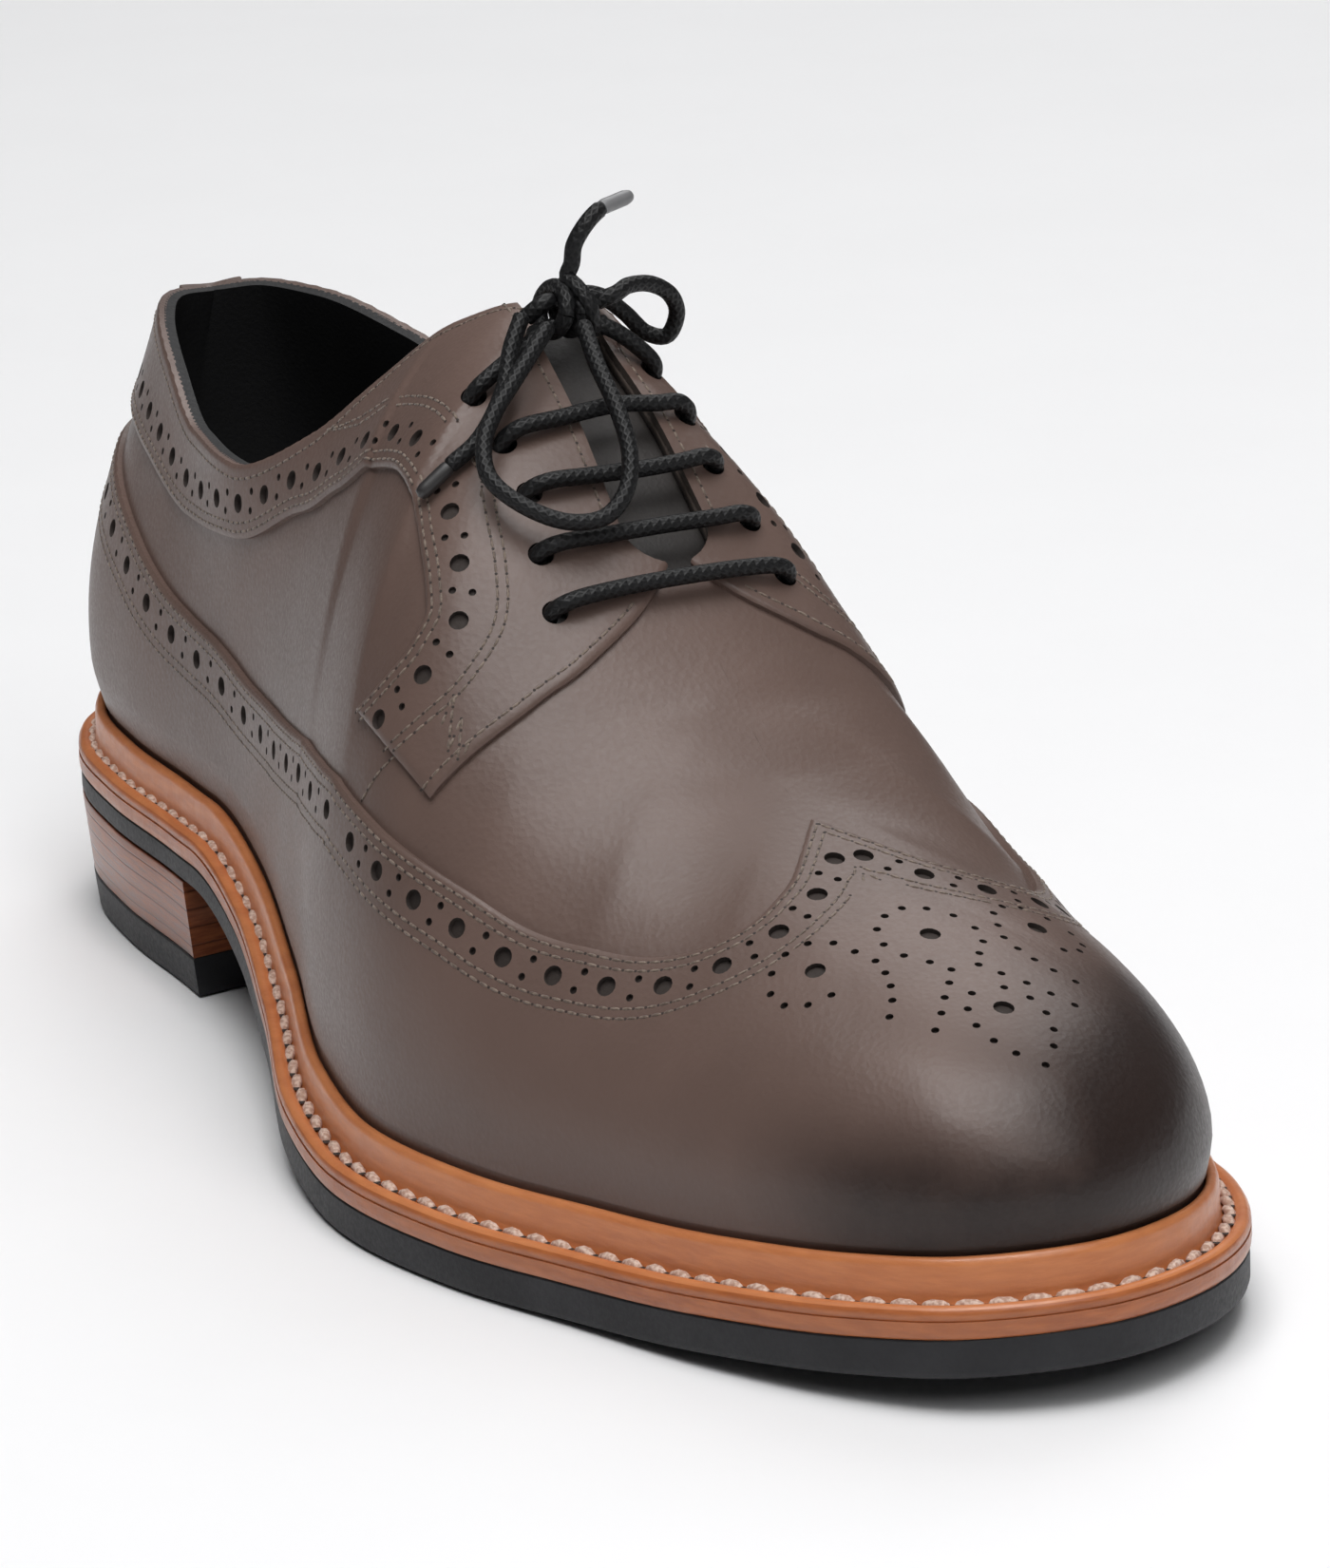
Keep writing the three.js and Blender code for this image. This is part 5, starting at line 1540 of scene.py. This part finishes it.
area_light("key", (0.35, -0.22, 1.7), (0, 0, 0), 1.2, 22.5)
area_light("front", (1.3, 0, 1.2), (0, 0, 0), 0.9, 5.5)
area_light("back", (-1.1, 0.9, 1.5), (-0.4, 0.3, 0), 1.2, 11.5)
sky = bpy.data.lights.new("sky", "SUN")
sky.energy = 0.55
sky.angle = math.radians(60)
bpy.context.collection.objects.link(bpy.data.objects.new("sky", sky))
world = bpy.data.worlds.new("studio")
bpy.context.scene.world = world
world.use_nodes = True
world.node_tree.nodes["Background"].inputs["Color"].default_value = (1, 1, 1, 1)
world.node_tree.nodes["Background"].inputs["Strength"].default_value = 0.05
bpy.context.scene.view_settings.view_transform = "Standard"

# Photograph's camera: direction from the shoe to the camera, roll, distance, and the framing
CAMERA_TURN = math.radians(-25.1)
CAMERA_RISE = math.radians(17.92)
CAMERA_ROLL = math.radians(-2.02)
CAMERA_AWAY = 1222.4
CAMERA_AT = (156, 0, 30)
CAMERA_AIM = (160.3, 11.7, 49.8)
FRAME_WIDTH = 1400
FOCAL_PIXELS = 8280
SENSOR = 36

back = Vector((math.cos(CAMERA_RISE) * math.cos(CAMERA_TURN), math.cos(CAMERA_RISE) * math.sin(CAMERA_TURN),
               math.sin(CAMERA_RISE)))
right = Vector((0, 0, 1)).cross(back).normalized()
up = back.cross(right)
rolled_right = right * math.cos(CAMERA_ROLL) + up * math.sin(CAMERA_ROLL)
rolled_up = up * math.cos(CAMERA_ROLL) - right * math.sin(CAMERA_ROLL)
eye = Vector(CAMERA_AT) + back * CAMERA_AWAY
swing = (-back).rotation_difference(Vector(CAMERA_AIM) - eye)
basis = swing.to_matrix() @ Matrix((rolled_right, rolled_up, back)).transposed()
camera_data = bpy.data.cameras.new("camera")
camera_data.sensor_fit = "HORIZONTAL"
camera_data.sensor_width = SENSOR
camera_data.lens = FOCAL_PIXELS / FRAME_WIDTH * SENSOR
camera_data.clip_start = 0.05
camera = bpy.data.objects.new("camera", camera_data)
camera.matrix_world = Matrix.Translation(Vector(place(eye))) @ basis.to_4x4()
bpy.context.collection.objects.link(camera)
bpy.context.scene.camera = camera
